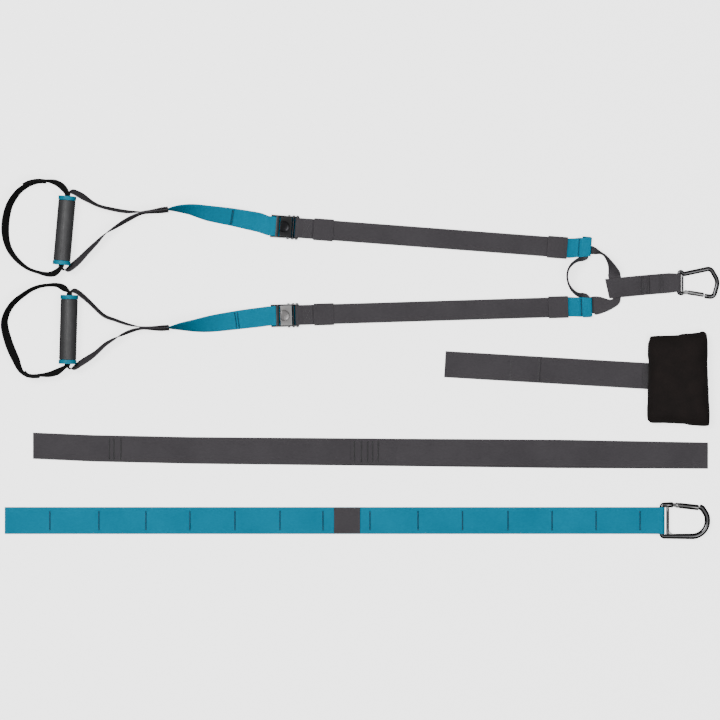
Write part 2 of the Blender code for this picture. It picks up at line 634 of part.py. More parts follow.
def lever(arm, frame):
    """The cam lever: a thumb plate over a toothed drum, and the coil spring in its slot."""
    axle = Frame(arm + "_cam_hinge", Vector((0.0, 0.0, AXLE_HEIGHT)), parent=frame.empty)
    low, high = LEVER_RISE - LEVER_PLATE / 2, LEVER_RISE + LEVER_PLATE / 2
    outline = [(-LEVER_LENGTH, low), (-DRUM_RADIUS, low)]
    for degrees in range(195, 276, 20):
        angle = math.radians(degrees)
        outline.append((DRUM_RADIUS * math.cos(angle), DRUM_RADIUS * math.sin(angle)))
    for degrees in range(280, 321, 10):
        radius = NOSE_RADIUS if degrees % 20 == 0 else DRUM_RADIUS
        angle = math.radians(degrees)
        outline.append((radius * math.cos(angle), radius * math.sin(angle)))
    outline += [(DRUM_RADIUS, 0.0), (DRUM_RADIUS, low), (LEVER_BACK, low), (LEVER_BACK, high),
                (-LEVER_LENGTH + LEVER_PLATE / 2, high), (-LEVER_LENGTH, LEVER_RISE)]
    cam = extruded(arm + "_cam_lever", outline, LEVER_WIDTH, LEVER_METAL, axle.empty)
    bore = AXLE_RADIUS + PIN_GAP
    drill = turned(arm + "_cam_drill", [(-LEVER_WIDTH, 0.0), (-LEVER_WIDTH, bore), (LEVER_WIDTH, bore),
                                        (LEVER_WIDTH, 0.0)], LEVER_METAL, parent=axle.empty, steps=16)
    combine(cam, drill, "DIFFERENCE")
    slot = block(arm + "_cam_slot", (-LEVER_LENGTH, -SPRING_SLOT / 2, -LEVER_LENGTH),
                 (LEVER_LENGTH, SPRING_SLOT / 2, low), LEVER_METAL, axle.empty)
    combine(cam, slot, "DIFFERENCE")
    wire = []
    count = SPRING_TURNS * 10
    for step in range(count + 1):
        angle = -math.tau * (step / 10 + 0.25)
        along = SPRING_PITCH * (step / 10 - SPRING_TURNS / 2)
        wire.append(Vector((SPRING_COIL * math.cos(angle), along, SPRING_COIL * math.sin(angle))))
    wire.insert(0, wire[0] + ALONG * (GUIDE_AT + GUIDE_RADIUS))
    tube(arm + "_cam_spring", wire, SPRING_WIRE, SPRING_STEEL, axle.empty, sides=6)


def keeper(name, start, layers, frame):
    """A webbing sleeve round the strap and its tail."""
    half = MAIN_WIDTH / 2 + PLY_GAP + KEEPER_WALL / 2
    low = KEEPER_WALL / 2
    high = KEEPER_WALL + PLY_GAP + layers * PLY + KEEPER_WALL / 2
    middle = start + KEEPER_LENGTH / 2
    corner = KEEPER_CORNER
    path = []
    for across, height, first in ((half - corner, low + corner, -90), (half - corner, high - corner, 0),
                                  (corner - half, high - corner, 90), (corner - half, low + corner, 180)):
        for step in range(4):
            angle = math.radians(first + 30 * step)
            path.append(Vector((middle, across + corner * math.cos(angle), height + corner * math.sin(angle))))
    stations = [(point, ALONG, KEEPER_LENGTH, KEEPER_WALL) for point in path]
    band(name, stations, DARK_WEBBING, frame.empty, closed=True)


def arm_straps(arm, frame, skew):
    """The main strap from the buckle, its two keepers, and the teal loop on its far end."""
    tail = PLATE + PLY_GAP + WEBBING / 2
    main = tail + PLY
    bar = main_bar_height()
    wrap = BAR_RADIUS + PLY_GAP + WEBBING / 2
    outline = [(RETURN_END, main + PLY, 0.0), (BAR_AT + RETURN_RISE, main + PLY, 0.0)]
    outline += fold(BAR_AT, bar, wrap, 80, 270)
    outline += [(MAIN_END, main, 0.0)]
    band(arm + "_main_strap", flat(outline, MAIN_WIDTH), DARK_WEBBING, frame.empty)
    keeper(arm + "_near_keeper", NEAR_KEEPER, 2, frame)
    keeper(arm + "_far_keeper", FAR_KEEPER, 3, frame)
    band(arm + "_ring_loop", ring_loop(tail, skew), TEAL_WEBBING, frame.empty)


def eye_levels():
    """Heights in a ring loop's eye: its lower ply, the bunched ring strap, its upper ply."""
    lower = WEBBING + EYE_GAP + WEBBING / 2
    ring = lower + WEBBING / 2 + EYE_GAP + BUNCH / 2
    return lower, ring, ring + BUNCH / 2 + EYE_GAP + WEBBING / 2


def ring_loop(tail, skew):
    """Stations of a teal loop: under the main strap's end, round the ring strap and back over it."""
    lower, ring, upper = eye_levels()
    radius = (upper - lower) / 2
    turn_at = LOOP_END - radius - WEBBING / 2
    far = KEEPER_END
    lean = skew / (LOOP_END - far)
    side = math.copysign(LOOP_TUCK / 2, skew)
    places = [(LOOP_START, tail, 0.0), (far, tail, 0.0), (LOOP_STITCH, tail, lean * (LOOP_STITCH - far)),
              (LOOP_STITCH + PLY, lower, lean * (LOOP_STITCH + PLY - far))]
    places += fold(turn_at, ring, radius, -90, 90, skew)
    places += [(LOOP_STITCH + 2 * PLY, upper, lean * (LOOP_STITCH + PLY - far)),
               (LOOP_STITCH, tail + PLY, lean * (LOOP_STITCH - far)),
               (far + 2 * PLY, tail + PLY, 0.0), (far, tail + 2 * PLY, 0.0),
               (LOOP_START + PLY, tail + 2 * PLY, 0.0)]
    stations = flat(places, TAIL_WIDTH)
    tucked = []
    for index, (point, across, width, thickness) in enumerate(stations):
        share = TUCK_SHARES[index] if index < len(TUCK_SHARES) else 0.0
        tucked.append((point - ACROSS * side * share, across, width - LOOP_TUCK * share, thickness))
    return tucked


def ring_side(frame, skew, downwards):
    """Stations of the ring strap through one teal loop: over in its eye, round the edge, under."""
    lower, ring, upper = eye_levels()
    under = WEBBING / 2
    turn_at = LOOP_END - (upper - lower) / 2 - WEBBING / 2
    eye = turn_at - BUNCH_WIDTH / 2 - PLY_GAP
    shift = skew * (eye - KEEPER_END) / (LOOP_END - KEEPER_END)
    sense = math.copysign(1.0, skew)
    edge = skew + sense * (TAIL_WIDTH / 2 - LOOP_TUCK + PLY_GAP)
    radius = (ring - under) / 2
    along = frame.turn(ALONG)
    stations = []
    for degrees in range(-90, 91, 30):
        angle = math.radians(degrees)
        share = (degrees + 90) / 180
        out, rise = edge + sense * radius * math.cos(angle), under + radius + radius * math.sin(angle)
        point = frame.point(eye, out, rise)
        stations.append((point, along, BUNCH_WIDTH, WEBBING + (BUNCH - WEBBING) * share))
    mouth = shift - sense * TAIL_WIDTH / 2
    for across in (shift, mouth + sense * BUNCH, mouth, mouth - sense * BUNCH / 2):
        stations.append((frame.point(eye, across, ring), along, BUNCH_WIDTH, BUNCH))
    return stations if downwards else stations[::-1]


def lying(places):
    """Stations of the ring strap from its table, moved with the arms' ends."""
    points = [at(*place[0:2]) + RING_SHIFT for place in places]
    stations = []
    for index, (_, _, lean, share, *plies) in enumerate(places):
        left = UP.cross(points[min(index + 1, len(points) - 1)] - points[max(index - 1, 0)]).normalized()
        lean = math.radians(lean)
        width = BUNCH_WIDTH + (RING_WIDTH - BUNCH_WIDTH) * share
        height = (width * abs(math.cos(lean)) + WEBBING * abs(math.sin(lean))) / 2
        if plies:
            height = WEBBING / 2 + plies[0] * PLY
        across = UP * math.cos(lean) + left * math.sin(lean)
        stations.append((points[index] + UP * height, across, width, WEBBING))
    return stations


def equaliser_ring(upper, lower):
    """The ring strap: through the anchor strap, round both teal loops and back."""
    stations = lying(RING_RIGHT_PIXELS) + ring_side(upper, UPPER_SKEW, True) + lying(RING_LEFT_PIXELS)
    stations += ring_side(lower, LOWER_SKEW, False) + lying(RING_BOTTOM_PIXELS)
    band("equaliser_ring", smooth(stations, closed=True), DARK_WEBBING, closed=True)


def drifted(outline, end):
    """Places of (along, height), moved sideways on a curve that grows towards the ring's end."""
    return [(along, height, ANCHOR_SHIFT * max(0.0, along / end) ** ANCHOR_CURVE)
            for along, height in outline]


def anchor_strap(frame, bar_height, bar_radius):
    """The strap from the ring to the carabiner: a loop at each end, sewn in the middle."""
    low = WEBBING / 2
    wrap = bar_radius + PLY_GAP + WEBBING / 2
    top = low + 2 * PLY
    end = PLY + WEBBING / 2 - ANCHOR_LENGTH
    eye = RING_EYE - ANCHOR_LENGTH
    lap = ANCHOR_LAP + ANCHOR_STEP
    outline = drifted([(-ANCHOR_LAP, top), (-ANCHOR_EYE, top)], end)
    outline += fold(0.0, bar_height, wrap, 100, -90)
    outline += drifted([(-ANCHOR_LAP, low), (eye, low)], end)
    outline += fold(end, low + PLY, PLY, 270, 90, ANCHOR_SHIFT)
    outline += drifted([(eye, top), (-lap - ANCHOR_STEP, top), (-lap, low + PLY),
                        (-ANCHOR_INNER, low + PLY)], end)
    stations = []
    for point, across, width, thickness in flat(outline, MAIN_WIDTH):
        if point.x > -ANCHOR_EYE + PLY:
            width = ANCHOR_BAR_WIDTH
        if point.x < end + PLY:
            across = (ACROSS + ALONG * ANCHOR_SLANT).normalized()
        stations.append((point, across, width, thickness))
    band("anchor_strap", stations, DARK_WEBBING, frame.empty)


def carabiner(name, frame, shape):
    """A carabiner: a strap bar, a rib that closes its slot, a hooked frame, and a sprung gate."""
    half_bar = shape["strap"] / 2 + shape["radius"] + SLOT_GAP
    scale = Vector((shape["length"], half_bar, 0.0))
    corners = [(along * scale.x, across * scale.y, corner * scale.y)
               for along, across, corner in shape["frame_shares"]]
    body = tube(name + "_body", rounded(corners), shape["radius"], GLOSS_METAL, frame.empty, 12)
    rib_at, reach = shape["rib_share"] * scale.x, shape["reach_share"] * scale.y
    rib = tube(name + "_rib", [Vector((rib_at, -reach, 0.0)), Vector((rib_at, reach, 0.0))],
               shape["rib_radius"], GLOSS_METAL, frame.empty, 10)
    combine(body, rib, "UNION")
    hinge = Vector((*shape["hinge_shares"], 0.0)) * scale
    neck = Vector((*corners[-1][0:2], 0.0))
    gate_way = Vector((*shape["tip_shares"], 0.0)) * scale - hinge
    angle = math.atan2(gate_way.y, gate_way.x)
    radius = shape["gate_radius"]
    joint = Frame(name + "_gate_hinge", hinge, angle, parent=frame.empty)
    tang_disc = turned(name + "_tang_disc", [(-TANG / 2, 0.0), (-TANG / 2, radius - TANG_GAP),
                                            (TANG / 2, radius - TANG_GAP), (TANG / 2, 0.0)],
                       GLOSS_METAL, parent=joint.empty, direction="Z", steps=16)
    combine(body, tang_disc, "UNION")
    reach = (hinge - neck)
    bridge = Frame(name + "_tang_line", (hinge + neck) / 2, math.atan2(reach.y, reach.x), parent=frame.empty)
    half = reach.length / 2 + TANG_GAP * 3
    wide = (radius - TANG_GAP) * 0.9
    tang = block(name + "_tang", (-half, -wide, -TANG / 2 * 0.98), (half - TANG_GAP * 3, wide, TANG / 2 * 0.98),
                 GLOSS_METAL, bridge.empty)
    combine(body, tang, "UNION")
    drill = turned(name + "_pin_drill", [(-radius * 2, 0.0), (-radius * 2, GATE_PIN + PIN_GAP),
                                         (radius * 2, GATE_PIN + PIN_GAP), (radius * 2, 0.0)],
                   GLOSS_METAL, parent=joint.empty, direction="Z", steps=12)
    combine(body, drill, "DIFFERENCE")
    length = gate_way.length
    gate = turned(name + "_gate", [(0.0, 0.0), (0.0, radius), (length - radius / 3, radius),
                                   (length, radius * 0.75), (length, 0.0)],
                  GLOSS_METAL, parent=joint.empty, direction="X", steps=16)
    eye = turned(name + "_gate_eye", [(-radius * 0.85, 0.0), (-radius * 0.85, radius * 0.98),
                                      (radius * 0.85, radius * 0.98), (radius * 0.85, 0.0)],
                 GLOSS_METAL, parent=joint.empty, direction="Z", steps=16)
    combine(gate, eye, "UNION")
    slot_deep = radius + TANG_GAP * 2
    slot = block(name + "_gate_slot", (-radius * 2, -radius * 2, -TANG / 2 - TANG_GAP),
                 (slot_deep, radius * 2, TANG / 2 + TANG_GAP), GLOSS_METAL, joint.empty)
    combine(gate, slot, "DIFFERENCE")
    combine(gate, drill, "DIFFERENCE")
    bore_deep = slot_deep + GATE_SPRING + PLY_GAP
    bore = turned(name + "_gate_bore", [(0.0, 0.0), (0.0, GATE_BORE), (bore_deep, GATE_BORE), (bore_deep, 0.0)],
                  GLOSS_METAL, parent=joint.empty, direction="X", steps=12)
    combine(gate, bore, "DIFFERENCE")
    turned(name + "_gate_pin", [(-radius * 0.9, 0.0), (-radius * 0.9, GATE_PIN), (radius * 0.9, GATE_PIN),
                                (radius * 0.9, 0.0)], BUCKLE_METAL, parent=joint.empty, direction="Z", steps=12)
    wire = []
    count = GATE_TURNS * 8
    coil = GATE_BORE - GATE_WIRE - PIN_GAP
    for step in range(count + 1):
        swing = math.tau * step / 8
        along = slot_deep + GATE_WIRE + (GATE_SPRING - GATE_WIRE * 2) * step / count
        wire.append(Vector((along, coil * math.cos(swing), coil * math.sin(swing))))
    tube(name + "_gate_spring", wire, GATE_WIRE, SPRING_STEEL, joint.empty, sides=5)


def door_anchor():
    """The door anchor: a loop of wide webbing sewn to a stuffed cushion."""
    start, end = [at(*pixel) for pixel in DOOR_PIXELS]
    frame = Frame("door_anchor_line", start, math.atan2(end.y - start.y, end.x - start.x))
    reach = (end - start).length - SEAM_BACK
    low = WEBBING / 2
    turn_at = PLY / 2 + WEBBING / 2
    outline = [(DOOR_LAP, low + PLY, 0.0)]
    outline += fold(turn_at, low + PLY / 2, PLY / 2, 90, 270)
    outline += [(reach - DOOR_RISE, low, 0.0),
                (reach - DOOR_RISE * DOOR_RISE_SHARE, SEAM_HEIGHT * DOOR_LIFT_SHARE, 0.0),
                (reach - PLY, SEAM_HEIGHT - PLY, 0.0), (reach, SEAM_HEIGHT, 0.0)]
    band("door_anchor_strap", flat(outline, WIDE_WIDTH), DARK_WEBBING, frame.empty)
    cushion()


def cushion():
    """A stuffed cushion: crowned above and below a seam, its sides drawn in between the corners."""
    made = bmesh.new()
    corners = [at(*corner) for corner in CUSHION_PIXELS]
    grid = {}
    for row in range(CUSHION_ROWS + 1):
        for column in range(CUSHION_COLUMNS + 1):
            right = 2 * column / CUSHION_COLUMNS - 1
            down = 2 * row / CUSHION_ROWS - 1
            right = math.sin(right * math.pi / 2) * 0.4 + right * 0.6
            down = math.sin(down * math.pi / 2) * 0.4 + down * 0.6
            top = corners[0].lerp(corners[1], (right + 1) / 2)
            bottom = corners[3].lerp(corners[2], (right + 1) / 2)
            point = top.lerp(bottom, (down + 1) / 2)
            corner_share = (right * down) ** 6
            point.x -= right * (PULL_IN * (1 - down * down) + CORNER_PULL * corner_share)
            point.y += down * (PULL_IN * (1 - right * right) + CORNER_PULL * corner_share)
            crown = math.sqrt(max(0.0, (1 - right ** 4) * (1 - down ** 4)))
            edge = row in (0, CUSHION_ROWS) or column in (0, CUSHION_COLUMNS)
            upper = made.verts.new(point + UP * (SEAM_HEIGHT + (CUSHION_HEIGHT - SEAM_HEIGHT) * crown))
            flat_share = min(1.0, crown * 1.25)
            lower = upper if edge else made.verts.new(point + UP * SEAM_HEIGHT * (1 - flat_share))
            grid[row, column] = (upper, lower)
    for row in range(CUSHION_ROWS):
        for column in range(CUSHION_COLUMNS):
            around = [grid[row, column], grid[row, column + 1],
                      grid[row + 1, column + 1], grid[row + 1, column]]
            made.faces.new([pair[0] for pair in around])
            made.faces.new([pair[1] for pair in around])
    make_object("door_anchor_cushion", made, BLACK_CLOTH, smooth=True)


def pixel_run(pixels, start, height):
    """Places of pixels seen from a strap's first one, at a height."""
    return [((x - start[0]) * PIXEL, height, (start[1] - y) * PIXEL) for x, y in pixels]


def extension_strap():
    """The extension strap: one long loop of wide webbing pressed flat, spliced on its upper side."""
    low = WEBBING / 2
    start = EXTENSION_START_PIXELS
    frame = Frame("extension_line", at(*start))
    turn = PLY / 2 + WEBBING / 2
    (end, height, aside), = pixel_run([EXTENSION_END_PIXELS], start, low + PLY / 2)
    outline = pixel_run(SPLICE_PIXELS, start, low + 2 * PLY)
    outline += pixel_run(UPPER_PLY_PIXELS, start, low + PLY)
    outline += fold(end - turn, height, PLY / 2, 90, -90, aside)
    outline += pixel_run(LOWER_PLY_PIXELS, start, low)
    outline += fold(turn, height, PLY / 2, 270, 90)
    outline += pixel_run(RETURN_PLY_PIXELS, start, low + PLY)
    band("extension_strap", flat(outline, WIDE_WIDTH), DARK_WEBBING, frame.empty)


def ladder(frame, bar_height, bar_radius):
    """The ladder strap: two plies of wide webbing sewn into pockets, round a carabiner's bar."""
    low = WEBBING / 2
    wrap = bar_radius + PLY_GAP + WEBBING / 2
    outline = pixel_run(LADDER_PIXELS[0:1], LADDER_END_PIXELS, low)
    outline += fold(0.0, bar_height, wrap, -90, 100)
    outline += pixel_run(LADDER_PIXELS[::-1], LADDER_END_PIXELS, low + PLY)
    band("ladder_strap", flat(outline, LADDER_WIDTH), TEAL_WEBBING, frame.empty)
    places = pixel_run(PATCH_PIXELS, LADDER_END_PIXELS, low + PLY + WEBBING / 2 + PLY_GAP + PATCH / 2)
    band("ladder_patch", flat(places, PATCH_WIDTH, PATCH), DARK_WEBBING, frame.empty)


for leftover in list(bpy.data.objects):
    bpy.data.objects.remove(leftover)

DARK_WEBBING = finish("dark_webbing", (0.06, 0.056, 0.062), 0.8)
FOOT_WEBBING = finish("foot_webbing", (0.012, 0.012, 0.013), 0.85)
TEAL_WEBBING = finish("teal_webbing", (0.0, 0.25, 0.39), 0.75)
GRIP_RUBBER = finish("grip_rubber", (0.06, 0.06, 0.062), 0.65)
TEAL_PLASTIC = finish("teal_plastic", (0.0, 0.3, 0.5), 0.35)
BLACK_PLASTIC = finish("black_plastic", (0.02, 0.02, 0.02), 0.45)
BUCKLE_METAL = finish("buckle_metal", (0.08, 0.08, 0.085), 0.35, 1.0)
LEVER_METAL = finish("lever_metal", (0.6, 0.6, 0.6), 0.3, 1.0)
SPRING_STEEL = finish("spring_steel", (0.55, 0.55, 0.55), 0.3, 1.0)
GLOSS_METAL = finish("gloss_metal", (0.02, 0.02, 0.022), 0.2, 0.6)
BLACK_CLOTH = finish("black_cloth", (0.012, 0.01, 0.01), 0.9)

FRAMES = {}
for arm, lies in ARMS.items():
    FRAMES[arm] = Frame(arm + "_arm", at(*lies["axle_pixels"]), lies["angle"])
    held = Hold(HANDLES[arm]["grip_pixels"])
    grip(arm, held)
    handle(arm, FRAMES[arm], held, HANDLES[arm])
    buckle(arm, FRAMES[arm])
    arm_straps(arm, FRAMES[arm], lies["skew"])

RING_SHIFT = ALONG * (LOOP_END - LOOP_END_PIXELS * PIXEL)
equaliser_ring(FRAMES["upper"], FRAMES["lower"])

hang = at(*HANG_PIXELS) + RING_SHIFT
bar_height = WEBBING + PLY_GAP + HOOK["radius"]
anchor_strap(Frame("anchor_line", hang), bar_height, HOOK["radius"])
carabiner("carabiner", Frame("carabiner_hinge", hang + UP * bar_height, tilt=math.radians(1.4)), HOOK)

door_anchor()
extension_strap()

ladder_end = at(*LADDER_END_PIXELS)
dee_height = WEBBING + PLY_GAP + DEE["radius"]
ladder(Frame("ladder_line", ladder_end), dee_height, DEE["radius"])
carabiner("ladder_carabiner", Frame("dee_hinge", ladder_end + UP * dee_height, tilt=math.radians(1.3)), DEE)
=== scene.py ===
# %% [markdown]
# # A suspension trainer, laid out flat
# A suspension trainer is mostly webbing. Two arms hang on a ring of webbing, each arm has a cam
# buckle that sets its length, and each ends in a grip with a loop for a hand and a loop for a foot.
# Beside the trainer lie a door anchor, a long extension loop and a strap sewn into pockets.
# The CAD model already holds every size, body and joint. The cells below only dress it, so
# nothing here moves a CAD piece: each new piece is made where the CAD says and rides on its body.

# %% Load the frame
import math

import bmesh
import bpy
from mathutils import Matrix, Vector, noise as clouds


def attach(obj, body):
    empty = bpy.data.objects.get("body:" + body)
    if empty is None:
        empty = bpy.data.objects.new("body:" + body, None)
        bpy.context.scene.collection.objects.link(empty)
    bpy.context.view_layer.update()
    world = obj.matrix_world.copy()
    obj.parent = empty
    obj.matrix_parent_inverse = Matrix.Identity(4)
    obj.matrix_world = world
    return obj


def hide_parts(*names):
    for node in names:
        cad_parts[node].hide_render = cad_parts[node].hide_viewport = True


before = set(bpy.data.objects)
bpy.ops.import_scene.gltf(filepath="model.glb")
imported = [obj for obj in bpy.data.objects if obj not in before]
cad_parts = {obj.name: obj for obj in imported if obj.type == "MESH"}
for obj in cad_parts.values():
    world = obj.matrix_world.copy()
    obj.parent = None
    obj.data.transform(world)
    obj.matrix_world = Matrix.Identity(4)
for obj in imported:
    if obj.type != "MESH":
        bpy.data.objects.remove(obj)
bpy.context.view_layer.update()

MM = 0.001

# %% [markdown]
# ## Where things are
# The set was photographed from straight above, so a pixel of the picture is a place on the floor.
# One scale turns pixels into metres. Working this way keeps every bend of the loose straps where
# the picture shows it, and the heights come from the widths and thicknesses of the webbing.

# %% Pixels to metres
PIXEL = 1.9 * MM
MIDDLE_X = 360.5
MIDDLE_Y = 358.9
UP = Vector((0.0, 0.0, 1.0))
ALONG = Vector((1.0, 0.0, 0.0))
ACROSS = Vector((0.0, 1.0, 0.0))


def at(pixel_x, pixel_y, height=0.0):
    """The place of a photograph pixel on the floor, lifted by a height."""
    return Vector(((pixel_x - MIDDLE_X) * PIXEL, (MIDDLE_Y - pixel_y) * PIXEL, height))


class Line:
    """A straight line on the floor that flat pieces follow: a start and a turn about the vertical."""

    def __init__(self, start, angle=0.0):
        self.matrix = Matrix.Translation(start) @ Matrix.Rotation(angle, 4, "Z")

    def point(self, along, across, height):
        """A place from its distances along the line, across it and over the floor."""
        return self.matrix @ Vector((along, across, height))

    def turn(self, vector):
        """A direction turned as the line is."""
        return self.matrix.to_3x3() @ vector


HOOK_BAR = (678.3, 282.6)
UPPER = Line(at(288.5, 227.2), angle=-0.075)
LOWER = Line(at(288.8, 315.4), angle=0.0305)
HANG = Line(at(*HOOK_BAR))
print("the trainer's buckles sit at", tuple(UPPER.point(0, 0, 0)), tuple(LOWER.point(0, 0, 0)))

# %% [markdown]
# Every piece goes the same way: its shape is put together as a bmesh, the bmesh becomes a mesh, and
# the mesh gets an object in the scene. Where a modifier or a simulation made the shape, the piece
# takes its result as a plain mesh, so that nothing is left to compute when it is exported.

# %% Helpers for objects and meshes
def link(name, data):
    """An object for a mesh, a curve, a lamp or a camera, in the scene."""
    made = bpy.data.objects.new(name, data)
    bpy.context.collection.objects.link(made)
    return made


def meshed(name, made):
    """A mesh from a bmesh, which is freed."""
    mesh = bpy.data.meshes.new(name)
    made.to_mesh(mesh)
    made.free()
    return mesh


def as_seen(piece):
    """A plain mesh of a piece as its modifiers leave it."""
    return bpy.data.meshes.new_from_object(piece.evaluated_get(bpy.context.evaluated_depsgraph_get()))


# %% [markdown]
# ## Camera
# The picture looks straight down and shows almost no perspective. A long lens far above it
# gives that view, and its focal length follows from the width of floor in the frame.

# %% Camera
CAMERA_HEIGHT = 12.0
SENSOR_WIDTH = 36.0
FRAME_PIXELS = 720.0
camera_data = bpy.data.cameras.new("camera")
camera_data.sensor_width = SENSOR_WIDTH
camera_data.lens = SENSOR_WIDTH * CAMERA_HEIGHT / (FRAME_PIXELS * PIXEL)
camera = link("camera", camera_data)
camera.location = at(FRAME_PIXELS / 2, FRAME_PIXELS / 2, CAMERA_HEIGHT)
bpy.context.scene.camera = camera
print("lens", round(camera_data.lens, 1), "mm")

# %% [markdown]
# ## Light and floor
# A product is usually shot in a light tent: light comes from every side and leaves hardly a shadow.
# The world does most of that work: it is white overhead, like the tent's lit top, and dark round the
# sides. So a shiny round bar shows a bright line along its middle and black rims, as metal does in
# a studio. Two large soft lamps add the long streaks on the grips.

# %% Light and floor
def lamp(name, place, width, power):
    """A square soft lamp that looks at the middle of the set."""
    data = bpy.data.lights.new(name, "AREA")
    data.size = width
    data.energy = power
    made = link(name, data)
    made.location = place
    made.rotation_euler = (-Vector(place)).to_track_quat("-Z", "Y").to_euler()


lamp("left_lamp", place=(-2.6, 1.6, 5.4), width=2.2, power=220.0)
lamp("right_lamp", place=(2.4, -2.2, 5.8), width=2.6, power=130.0)
world = bpy.data.worlds.new("tent")
world.use_nodes = True
tent = world.node_tree
height = tent.nodes.new("ShaderNodeSeparateXYZ")
tent.links.new(tent.nodes.new("ShaderNodeTexCoord").outputs["Generated"], height.inputs["Vector"])
panel = tent.nodes.new("ShaderNodeMapRange")
panel.interpolation_type = "SMOOTHSTEP"
for socket, value in (("From Min", 0.74), ("From Max", 0.96), ("To Min", 0.06), ("To Max", 1.5)):
    panel.inputs[socket].default_value = value
tent.links.new(height.outputs["Z"], panel.inputs["Value"])
tent.links.new(panel.outputs["Result"], tent.nodes["Background"].inputs["Strength"])
tent.nodes["Background"].inputs["Color"].default_value = (1.0, 1.0, 1.0, 1.0)
bpy.context.scene.world = world

FLOOR_REACH = 9.0
FLOOR_LEVEL = -0.4 * MM
floor_mesh = bpy.data.meshes.new("floor")
corners = [(x * FLOOR_REACH, y * FLOOR_REACH, FLOOR_LEVEL) for x, y in ((-1, -1), (1, -1), (1, 1), (-1, 1))]
floor_mesh.from_pydata(corners, [], [(0, 1, 2, 3)])
floor = link("floor", floor_mesh)
floor.visible_diffuse = False
floor.visible_glossy = False
print("floor and", len(bpy.data.lights), "lamps")

# %% [markdown]
# ## Finishes
# A finish is a small tree of nodes, so the first step is one helper that adds a node with its
# settings and joins its inputs. Every finish below reads the piece's own surface: webbing reads
# the UV map that runs along the strap in metres, and moulded or metal pieces read Object
# coordinates. That keeps each grain at its real size on every piece.

# %% A helper for node trees
def put(tree, kind, inputs=(), **settings):
    """Add a node: its settings, then its inputs, each a plain value or another node's output."""
    made = tree.nodes.new(kind)
    for name, value in settings.items():
        setattr(made, name, value)
    for name, value in dict(inputs).items():
        if isinstance(value, bpy.types.NodeSocket):
            tree.links.new(value, made.inputs[name])
        else:
            made.inputs[name].default_value = value
    return made


def plain(name, roughness, metallic=0.0, **sockets):
    """A material with its even values set, its tree, and its shader."""
    made = bpy.data.materials.new(name)
    made.use_nodes = True
    tree = made.node_tree
    shader = tree.nodes["Principled BSDF"]
    shader.inputs["Roughness"].default_value = roughness
    shader.inputs["Metallic"].default_value = metallic
    for socket, value in sockets.items():
        shader.inputs[socket.replace("_", " ")].default_value = value
    return made, tree, shader


def own_place(tree):
    """A piece's own coordinates, in metres."""
    return put(tree, "ShaderNodeTexCoord").outputs["Object"]


def toned(colour, factor=1.0, lift=0.0):
    """A colour made darker or lighter, with its alpha."""
    return (*[min(1.0, part * factor + lift) for part in colour], 1.0)


def mixed(tree, share, first, second):
    """A colour between two, by a share from 0 to 1. Each may be another node's output."""
    return put(tree, "ShaderNodeMix", {0: share, 6: first, 7: second}, data_type="RGBA").outputs[2]


def ranged(tree, value, low, high, to_low=0.0, to_high=1.0):
    """A value carried from one range to another and held there."""
    made = put(tree, "ShaderNodeMapRange", {"Value": value, "From Min": low, "From Max": high,
                                            "To Min": to_low, "To Max": to_high})
    return made.outputs["Result"]


def raised(tree, shader, height, depth, strength=0.6):
    """A bump of a depth in metres on a shader."""
    bump = put(tree, "ShaderNodeBump", {"Height": height, "Distance": depth, "Strength": strength})
    tree.links.new(bump.outputs["Normal"], shader.inputs["Normal"])


def noise(tree, vector, scale, detail=3.0):
    """A cloudy value on some coordinates."""
    made = put(tree, "ShaderNodeTexNoise", {"Vector": vector, "Scale": scale, "Detail": detail})
    return made.outputs["Fac"]


print("helpers ready")

# %% [markdown]
# ### Webbing
# Webbing is woven from flat yarns that float over a few picks and then dive under. Rows of bricks,
# each row shifted by half a brick, have the same layout, so a brick texture on the strap's UV map
# gives the floats, their dark gaps and a slight change of colour from yarn to yarn. A cloudy
# noise fades the dye a little, and the selvedges, which rub first, are a touch lighter.

# %% Webbing finishes
FLOAT_LENGTH = 3.4
YARN_WIDTH = 1.1


def webbing(name, colour, roughness=0.8):
    """A woven finish from its middle colour, on a strap's UV map in metres."""
    made, tree, shader = plain(name, roughness, Sheen_Weight=0.02, Sheen_Roughness=0.5,
                               Specular_IOR_Level=0.05)
    dark, light = toned(colour, 0.86), toned(colour, 1.12)
    place = put(tree, "ShaderNodeUVMap", uv_map="strap").outputs["UV"]
    yarn = put(tree, "ShaderNodeTexBrick", {
        "Vector": place, "Scale": 1.0 / MM, "Brick Width": FLOAT_LENGTH, "Row Height": YARN_WIDTH,
        "Mortar Size": 0.16, "Mortar Smooth": 1.0, "Color1": dark, "Color2": light,
        "Mortar": toned(colour, 0.62)}, offset=0.5)
    dye = ranged(tree, noise(tree, own_place(tree), 14.0), 0.3, 0.7)
    faded = mixed(tree, 0.55, yarn.outputs["Color"], mixed(tree, dye, dark, light))
    edge = put(tree, "ShaderNodeAttribute", attribute_name="selvedge").outputs["Fac"]
    rubbed = ranged(tree, edge, 0.9, 1.0, 0.0, 0.35)
    tree.links.new(mixed(tree, rubbed, faded, toned(colour, 1.35, 0.01)), shader.inputs["Base Color"])
    gap = put(tree, "ShaderNodeMath", {0: 1.0, 1: yarn.outputs["Fac"]}, operation="SUBTRACT")
    raised(tree, shader, gap.outputs[0], 0.22 * MM, 0.5)
    return made


DARK_WEBBING = webbing("charcoal_webbing", (0.068, 0.063, 0.069))
FOOT_WEBBING = webbing("black_webbing", (0.012, 0.012, 0.012), 0.85)
TEAL_WEBBING = webbing("teal_webbing", (0.0, 0.22, 0.36), 0.72)
print("three webbings")
